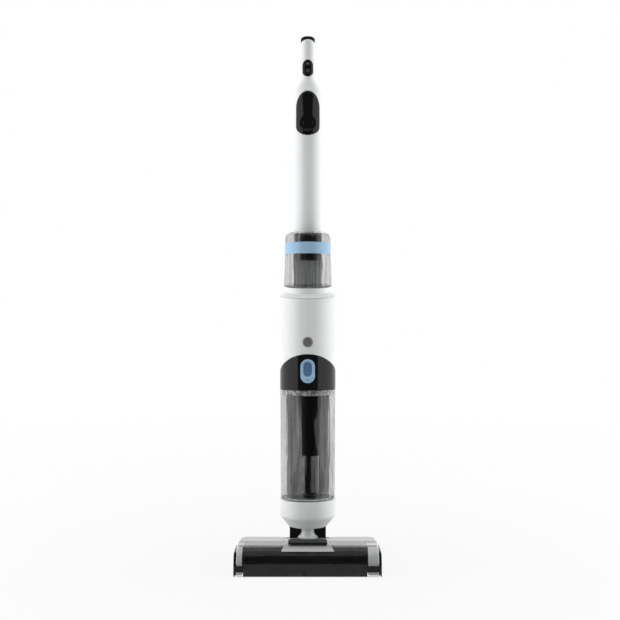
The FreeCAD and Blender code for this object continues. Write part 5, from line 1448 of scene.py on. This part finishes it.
stand_in("white_front", body_front_shell(), "body_front_shell", smooth=30)
stand_in("white_back", rear_cover(), "rear_cover", smooth=30)
stand_in("back_screws", screw_heads(), "body_screws")
stand_in("sloping_shoulder", seat_collar(), "seat_collar", smooth=20)
stand_in("round_button", grey_button(), "grey_button",
         finish=ringed_grey_painted_highlight("ringed_grey_painted_highlight", DOT.mid, DOT.size.x / 2))


# ---- Clean tank ----
CLEAN_BACK = CLEAN.high.y - BODY.y
CLEAN_FOOT = BODY_RADIUS - 0.0083
CLEAN_RADIUS = CLEAN_FOOT - 0.0023
CLEAN_WALL = 0.0022
CLEAN_DOME = 0.013
BACK_DOME = 0.35                                # share of the dome's draw-in that its back has
CLEAN_RISE = 0.0200                             # foot over the sloping seam
BAND_PROUD = 0.0008
CAP_HOLE = 0.01605
BAFFLE_RIBS = 6
BAFFLE_PITCH = 0.008


def clean_rings(pull, rise):
    """Rings of the clean tank, pull inside its skin: sloping foot, straight wall, dome."""
    back, corner = CLEAN_BACK - pull, 0.005 - pull / 2
    rings = []
    for lift, inwards in ((0.0008, 0.0),) if pull else ((0.0, 0.0008), (0.0008, 0.0)):
        ring = flat_backed(CLEAN_FOOT - pull - inwards, 0.0, back - inwards, corner)
        rings.append(lifted(ring, lambda p: seat_z(p.y, rise) + lift))
    for share in (0.5, 1.0):
        ring = flat_backed(CLEAN_FOOT + (CLEAN_RADIUS - CLEAN_FOOT) * share - pull, 0.0, back,
                           corner)
        rings.append(lifted(ring, lambda p: seat_z(p.y, rise) * (1 - share) + BAND.low.z * share))
    dome, top = CLEAN_DOME - pull, CLEAN.high.z - pull
    rings += [flat_backed(CLEAN_RADIUS - pull - drop, top - fall, back - drop * BACK_DOME, corner)
              for fall, drop in edge_turn(dome, 8)]
    rings += [flat_backed((CLEAN_RADIUS - pull - dome) * share, top,
                          (back - dome * BACK_DOME) * share, corner * share)
              for share in (0.7, 0.4, 0.1)]
    return rings


def clean_tank_shell():
    """Smoky tank with a domed shoulder, a flat back and a hole for its cap."""
    return cut(loft(clean_rings(0.0, CLEAN_RISE)),
               loft(clean_rings(CLEAN_WALL, CLEAN_RISE + CLEAN_WALL)),
               rod(CAP_HOLE, CLEAN.high.z - 0.006, CLEAN.high.z + PAST, CAP.mid, PART_STEPS))


def clean_tank_band():
    """Light-blue band round the tank, open behind."""
    outer, inner = CLEAN_RADIUS + BAND_PROUD, CLEAN_RADIUS + 0.00004
    section = rounded((inner, BAND.low.z, 0.0), (outer, BAND.low.z, 0.0005),
                      (outer, BAND.high.z, 0.0005), (inner, BAND.high.z, 0.0))
    reach = math.pi - math.acos((CLEAN_BACK - 0.003) / outer)
    return loft([[around(BODY, turn, r, z) for r, z in section]
                 for turn in spread(-reach, reach, 160)])


def clean_tank_cap():
    """Fill cap: neck in the tank's hole and a ribbed baffle sleeve under it."""
    low, high = CAP.low.z, CAP.high.z
    shoulder = CLEAN.high.z - CLEAN_WALL
    radius, neck, bore = CAP.size.x / 2, 0.016, 0.011
    profile = [(bore, low), (radius - 0.0008, low), (radius, low + 0.0008)]
    for i in range(BAFFLE_RIBS):
        z = low + 0.006 + i * BAFFLE_PITCH
        profile += [(radius, z), (radius - 0.0006, z + 0.0006), (radius - 0.0006, z + 0.0018),
                    (radius, z + 0.0024)]
    profile += [(radius, shoulder - 0.0009), (radius - 0.0008, shoulder - SLIVER),
                (neck - SLIVER, shoulder - SLIVER), (neck - SLIVER, high - 0.0006),
                (neck - 0.0007, high), (0.010, high), (0.0094, high - 0.0006),
                (0.0, high - 0.0006)]
    return cut(turned(profile, CAP.mid, steps=PART_STEPS),
               rod(bore, low - PAST, high - 0.004, CAP.mid, PIPE_STEPS))


stand_in("clean_water_tank", clean_tank_shell(), "clean_tank_shell", smooth=30)
stand_in("blue_band", clean_tank_band(), "clean_tank_band")
stand_in("fill_cap", clean_tank_cap(), "clean_tank_cap")


# ---- Pole, display, grip and keys ----
TAPER_HIGH = PANEL.low.z
TAPER_LOW = TAPER_HIGH - 0.038
TAPER_MID = POLE.high.z
PANEL_PROUD = 0.0008
GRIP_RADIUS = POLE_AXIS.y - PANEL.low.y - PANEL_PROUD
GRIP_WALL = 0.0022
HALF_JOINT = 0.00015
GRIP_EDGE = 0.005
GRIP_TOP = GRIP.high.z
ARCH_TOP = GRIP_TOP - 0.0078
ARCH_SIDE = GRIP_TOP - 0.0128
LENS_PROUD = 0.0008
RECESS = 0.004                                  # how far a recess is cut out past the skin
LENS_DEPTH = 0.0018
LENS_HALF = LENS.size.x / 2
LENS_FOOT = 0.020
LENS_HEAD = 0.033
DIAL_Z = LENS.low.z + 0.026
DIAL_RADIUS = 0.017
DIAL_FLOOR = 0.011


def pole_radius(z):
    """Radius of the pole and grip at height z."""
    share = min(1.0, max(0.0, (z - TAPER_LOW) / (TAPER_HIGH - TAPER_LOW)))
    fall = share * share * (3 - 2 * share)
    return POLE_RADIUS + (GRIP_RADIUS - POLE_RADIUS) * fall


def in_lens(x, z):
    """Whether a point lies within the display's egg-shaped outline."""
    foot, head = LENS.low.z + LENS_FOOT, LENS.high.z - LENS_HEAD
    over = (foot - z) / LENS_FOOT if z < foot else max(0.0, z - head) / LENS_HEAD
    return (x / LENS_HALF) ** 2 + over ** 2 <= 1.0


def lens_reach(turn):
    """Distance from the dial's centre to the display's outline."""
    near, far = 0.0, 0.1
    for _ in range(30):
        middle = (near + far) / 2
        if in_lens(middle * math.sin(turn), DIAL_Z - middle * math.cos(turn)):
            near = middle
        else:
            far = middle
    return near


LENS_TURNS = turns(128)
LENS_REACH = [lens_reach(turn) for turn in LENS_TURNS]


def lens_ring(share, depth, grow=0.0):
    """Ring on the pole's skin; share runs from the dial's centre 0, its rim 1, to the outline 2."""
    ring = []
    for turn, reach in zip(LENS_TURNS, LENS_REACH):
        along = DIAL_RADIUS * share
        if share > 1:
            along = DIAL_RADIUS + (reach + grow - DIAL_RADIUS) * (share - 1)
        x, z = along * math.sin(turn), DIAL_Z - along * math.cos(turn)
        ring.append(on_front(POLE_AXIS, pole_radius(z) + LENS_PROUD - depth, x, z))
    return ring


def lens_form(levels, back, grow=0.0):
    """Solid between the surface that levels give, as (share, depth), and a depth behind it."""
    behind = [lens_ring(share, back, grow) for share in (0.02, 0.5, 1.0, 1.5, 2.0)]
    return loft(behind + [lens_ring(share, depth, grow) for share, depth in levels])


def display_lens():
    """Glossy display: rounded edge and a round shallow dial in its lower part."""
    dial = DIAL_FLOOR / DIAL_RADIUS
    levels = [(2.0, 0.0014), (1.985, 0.0006), (1.94, 0.0001), (1.88, 0.0), (1.6, 0.0),
              (1.3, 0.0), (1.05, 0.0), (1.0, 0.0001), (0.97, 0.0003), (dial + 0.03, 0.0012),
              (dial, 0.0013), (dial - 0.04, 0.0012), (0.4, 0.0010), (0.2, 0.0009), (0.02, 0.0009)]
    return lens_form(levels, LENS_DEPTH + LENS_PROUD - SLIVER)


def pole_ring(z, flat, pull=0.0, front_pull=0.0):
    """Ring of the pole, pull inside its skin; a spine ring is cut off flat ahead of flat."""
    ring = []
    radius = pole_radius(z) - pull
    corner = 0.0 if flat is None else math.acos((POLE_AXIS.y - flat) / radius)
    for turn in turns(TURN_STEPS):
        point = around(POLE_AXIS, turn, radius, z)
        lean = math.remainder(turn, 2 * math.pi)
        if abs(lean) < corner:
            point = Vector((POLE_AXIS.x + radius * math.sin(corner) * lean / corner, flat, z))
        elif flat is None and point.y < SPINE_FRONT:
            point = around(POLE_AXIS, turn, radius - front_pull, z)
        ring.append(point)
    return ring


def taper_rings(top, pull=0.0):
    """Round rings of the pole's taper, up to top."""
    return [pole_ring(z, None, pull) for z in spread(TAPER_LOW, top, 16)]


def pole_tube():
    """White pole with its spine down behind the clean tank and a recess for the display."""
    low, foot = CLEAN.high.z + 0.0006, POLE.low.z
    wall, top = 0.0025, TAPER_MID - 0.0002
    rings = [pole_ring(foot, SPINE_FRONT + 0.0006, 0.0006), pole_ring(foot + 0.0006, SPINE_FRONT),
             pole_ring(low, SPINE_FRONT)]
    rings += [pole_ring(low + rise, None, 0.0, pull)
              for pull, rise in ((0.0009, 0.0), (0.0003, 0.0003), (0.0, 0.0009))]
    room = [pole_ring(foot - PAST, SPINE_FRONT + wall, wall),
            pole_ring(low + wall, SPINE_FRONT + wall, wall), pole_ring(low + wall, None, wall)]
    recess = lens_form([(share, -RECESS) for share in (2.0, 1.5, 1.0, 0.5, 0.02)],
                       LENS_DEPTH + LENS_PROUD, grow=0.0003)
    return cut(loft(rings + taper_rings(top)), loft(room + taper_rings(top + 0.001, wall)), recess)


def grip_solid(pull=0.0):
    """Handle as one turned body with a rounded end, pull inside its skin."""
    low, top = TAPER_MID + 0.0002 - pull, GRIP_TOP - pull
    line = [(pole_radius(z) - pull, z) for z in spread(low, TAPER_HIGH, 16)]
    line += [(GRIP_RADIUS - pull - drop, top - fall) for fall, drop in edge_turn(GRIP_EDGE, 7)]
    return turned([(0.0, low)] + line + [(0.0, top)], POLE_AXIS, steps=PART_STEPS)


def front_region(grow):
    """Space of the white front half: ahead of the pole's axis and under an arch."""
    side, foot = 0.05, TAPER_MID - PAST
    rise = ARCH_TOP - ARCH_SIDE
    bow = (GRIP_RADIUS ** 2 + rise ** 2) / (2 * rise)
    reach = math.asin(GRIP_RADIUS / bow)
    outline = [(-side, foot), (side, foot), (side, ARCH_SIDE + grow)]
    outline += [(bow * math.sin(turn), ARCH_TOP + grow - bow + bow * math.cos(turn))
                for turn in spread(reach, -reach, 32)]
    outline.append((-side, ARCH_SIDE + grow))
    return slab("y", [Vector(point) for point in outline], -FAR, POLE_AXIS.y + grow)


def grip_front_shell():
    shell = shared(cut(grip_solid(), grip_solid(GRIP_WALL)), front_region(-HALF_JOINT))
    return cut(shell, panel_form([(pull, -RECESS) for pull in (0.0, 0.005, 0.01)], PANEL_BACK,
                                 0.0002))


def grip_rear_cover():
    return cut(grip_solid(), grip_solid(GRIP_WALL), front_region(HALF_JOINT))


PANEL_HALF = PANEL.size.x / 2
PANEL_FACE = POLE_AXIS.y - PANEL.low.y
PANEL_BACK = 0.0017
PANEL_CORE = 0.0112                             # inset of the panel's innermost ring
KEY_RADIUS = POWER.size.x / 2


def panel_ring(pull, depth):
    """Ring of the pill-shaped panel on the grip's skin, pull inside its outline."""
    return [on_front(POLE_AXIS, PANEL_FACE - depth, p.x, p.y)
            for p in oval(PANEL_HALF - pull, PANEL.low.z + pull, PANEL.high.z - pull)]


def panel_form(levels, back, grow=0.0):
    behind = [panel_ring(pull, back) for pull in (PANEL_CORE, 0.006, -grow)]
    front = [panel_ring(pull - grow, depth) for pull, depth in levels]
    return loft(behind + front + [panel_ring(PANEL_CORE, levels[-1][1])])


def control_panel():
    """Pill-shaped panel: rounded edge and a raised line round its keys."""
    levels = [(0.0, 0.0010), (0.0003, 0.0003), (0.0010, 0.0), (0.0024, 0.0), (0.0027, 0.0004),
              (0.0034, 0.0004), (0.0037, 0.0001), (0.0043, 0.0001), (0.0046, 0.0005),
              (0.0080, 0.0005)]
    holes = [rod_y(KEY_RADIUS + 0.0003, -FAR, POLE_AXIS.y, 0.0, key.mid.z) for key in (POWER, MODE)]
    return cut(panel_form(levels, PANEL_BACK), *holes)


def round_key(key, bow):
    """Round key with a rounded rim; bow is how deep its face is hollowed."""
    radius, face = key.size.x / 2, key.low.y
    levels = [(1.0, key.high.y), (1.0, face + 0.0006), (0.96, face + 0.0002), (0.88, face),
              (0.8, face), (0.7, face + bow * 0.5), (0.4, face + bow * 0.9), (0.1, face + bow)]
    return loft([facing(disc(radius * share, key.mid.z, KEY_STEPS), y) for share, y in levels])


def power_dash():
    """Pale bar on the power key."""
    half, thick = 0.0033, 0.0007
    z, face = POWER.mid.z, POWER.low.y
    return slab("y", oblong((-half, z - thick), (half, z + thick), 0.0006), face - SLIVER,
                face + 0.0009)


stand_in("white_pole", pole_tube(), "pole_tube", smooth=30)
stand_in("display_window", display_lens(), "display_lens", smooth=60)
stand_in("handle_front", grip_front_shell(), "grip_front_shell", smooth=30)
stand_in("handle_back", grip_rear_cover(), "grip_rear_cover", smooth=30)
stand_in("key_panel", control_panel(), "control_panel", smooth=50)
stand_in("power_key_cap", round_key(POWER, 0.0003), "power_button",
         finish=moulded("key_black", grey(0.012), 0.30, grain=0.00001, specular_ior_level=0.3))
stand_in("mode_key_cap", round_key(MODE, 0.0002), "mode_button",
         finish=moulded("key_grey", grey(0.05), 0.35, grain=0.00001))
detail("power_key_dash", power_dash(), BODY_OF["power_button"], "silver_plastic")


# ---- Floor, backdrop, lamps and camera ----
FLOOR_WHITE = 0.70
ROOM_LIGHT = 0.42                               # what the room sends to matt surfaces
SIDE_LIGHT = 2.62                               # radiance of the lamps
TOP_LIGHT = 0.9
FLOOR_FADE = 3.0                                # past this the floor is plain white
FLOOR_HALF = 8
CARD_HALF = 1.9                                 # dark cards behind the camera and under it
CARD_Y = -2.1
CARD_TOP = 2.4
CARD_FRONT = -0.25
CARD_LIFT = 0.0005
BOX_X, BOX_Z = 1.8, 0.85                        # the two side lamps
EYE = Vector((0.00465, -1.8189, 0.4828))
EYE_RISE = math.radians(1.151)                  # the camera looks up by this
LENS_LENGTH, SENSOR = 50.77, 36.0               # millimetres


def seen_white(finish, shader, kind, share=1.0):
    """The shader for lamps and matt bounces, and that share of plain white where it is seen."""
    white = finish.node(kind, {}, {"Color": grey(1.0), "Strength": 1.0})
    seen = finish.ray("Camera", "Glossy", "Transmission")
    return finish.mixed(seen if share == 1.0 else seen * share, shader, white)


def paint_room():
    bpy.context.scene.world = bpy.data.worlds.new("white_room")
    finish = Finish("white_room", bpy.context.scene.world)
    light = finish.node("ShaderNodeBackground", {}, {"Color": grey(1.0), "Strength": ROOM_LIGHT})
    finish.done(seen_white(finish, light, "ShaderNodeBackground"), "ShaderNodeOutputWorld")


def floor_paint():
    """White floor: mostly its own light where it is seen, so only a soft shadow stays."""
    finish = Finish("white_floor")
    base = finish.between(grey(FLOOR_WHITE), grey(FLOOR_WHITE + 0.03), finish.noise(0.3))
    matt = finish.node("ShaderNodeBsdfDiffuse", {}, {"Color": base})
    across = finish.node("ShaderNodeVectorMath", {"operation": "LENGTH"}, {0: finish.place()},
                         output=1)
    own_light = finish.ramp(across / FLOOR_FADE, (0.1, 0.88), (0.35, 0.96), (1.0, 1.0))
    return finish.done(seen_white(finish, matt, "ShaderNodeEmission", own_light))


def sheet_form(name, corners, material):
    """Flat four-cornered sheet that is part of the studio."""
    shape = form([Vector(corner) for corner in corners], [(0, 1, 2, 3)])
    shape.name = name
    shape.data.materials.append(material)
    return shape


def flat_sheet(half, low_y, high_y, z):
    return [(-half, low_y, z), (half, low_y, z), (half, high_y, z), (-half, high_y, z)]


def card_paint():
    finish = Finish("dark_card")
    matt = finish.node("ShaderNodeBsdfDiffuse", {}, {"Color": tint(0.05, 0.055, 0.055)})
    return finish.done(matt)


def unseen(studio_piece, *kinds):
    """Hides part of the studio from rays of these kinds."""
    for kind in kinds:
        setattr(studio_piece, "visible_" + kind, False)


def soft_box(name, place, aim, width, height, radiance):
    """Rectangular lamp that shines with the same radiance all over."""
    light = bpy.data.lights.new(name, "AREA")
    light.shape = "RECTANGLE"
    light.size, light.size_y = width, height
    light.energy = radiance * math.pi * width * height
    lamp = bpy.data.objects.new(name, light)
    lamp.location = place
    lamp.rotation_euler = (Vector(aim) - Vector(place)).to_track_quat("-Z", "Y").to_euler()
    unseen(lamp, "camera", "glossy", "transmission")
    bpy.context.collection.objects.link(lamp)


paint_room()
sheet_form("studio_floor", flat_sheet(FLOOR_HALF, -FLOOR_HALF, FLOOR_HALF, 0), floor_paint())
DARK_CARD = card_paint()
card = sheet_form("dark_card", [(-CARD_HALF, CARD_Y, 0.0), (CARD_HALF, CARD_Y, 0.0),
                                (CARD_HALF, CARD_Y, CARD_TOP), (-CARD_HALF, CARD_Y, CARD_TOP)],
                  DARK_CARD)
floor_card = sheet_form("floor_card", flat_sheet(CARD_HALF / 2, CARD_Y, CARD_FRONT, CARD_LIFT),
                        DARK_CARD)
unseen(card, "camera")
unseen(floor_card, "camera", "diffuse", "shadow")

for side_name, side in zip(SIDES, (-1, 1)):
    soft_box("side_box_" + side_name, (side * BOX_X, -0.15 + side * 0.2, BOX_Z),
             (0.0, -0.1, 0.60), 2.2, 1.9, SIDE_LIGHT)
soft_box("top_box", (0.0, -0.2, 2.3), (0.0, 0.0, 0.3), 1.2, 1.2, TOP_LIGHT)

camera = bpy.data.objects.new("camera", bpy.data.cameras.new("camera"))
camera.data.lens = LENS_LENGTH
camera.data.sensor_width = SENSOR
camera.location = EYE
camera.rotation_euler = (math.pi / 2 + EYE_RISE, 0.0, 0.0)
bpy.context.collection.objects.link(camera)
bpy.context.scene.camera = camera
bpy.context.scene.view_settings.view_transform = "Standard"
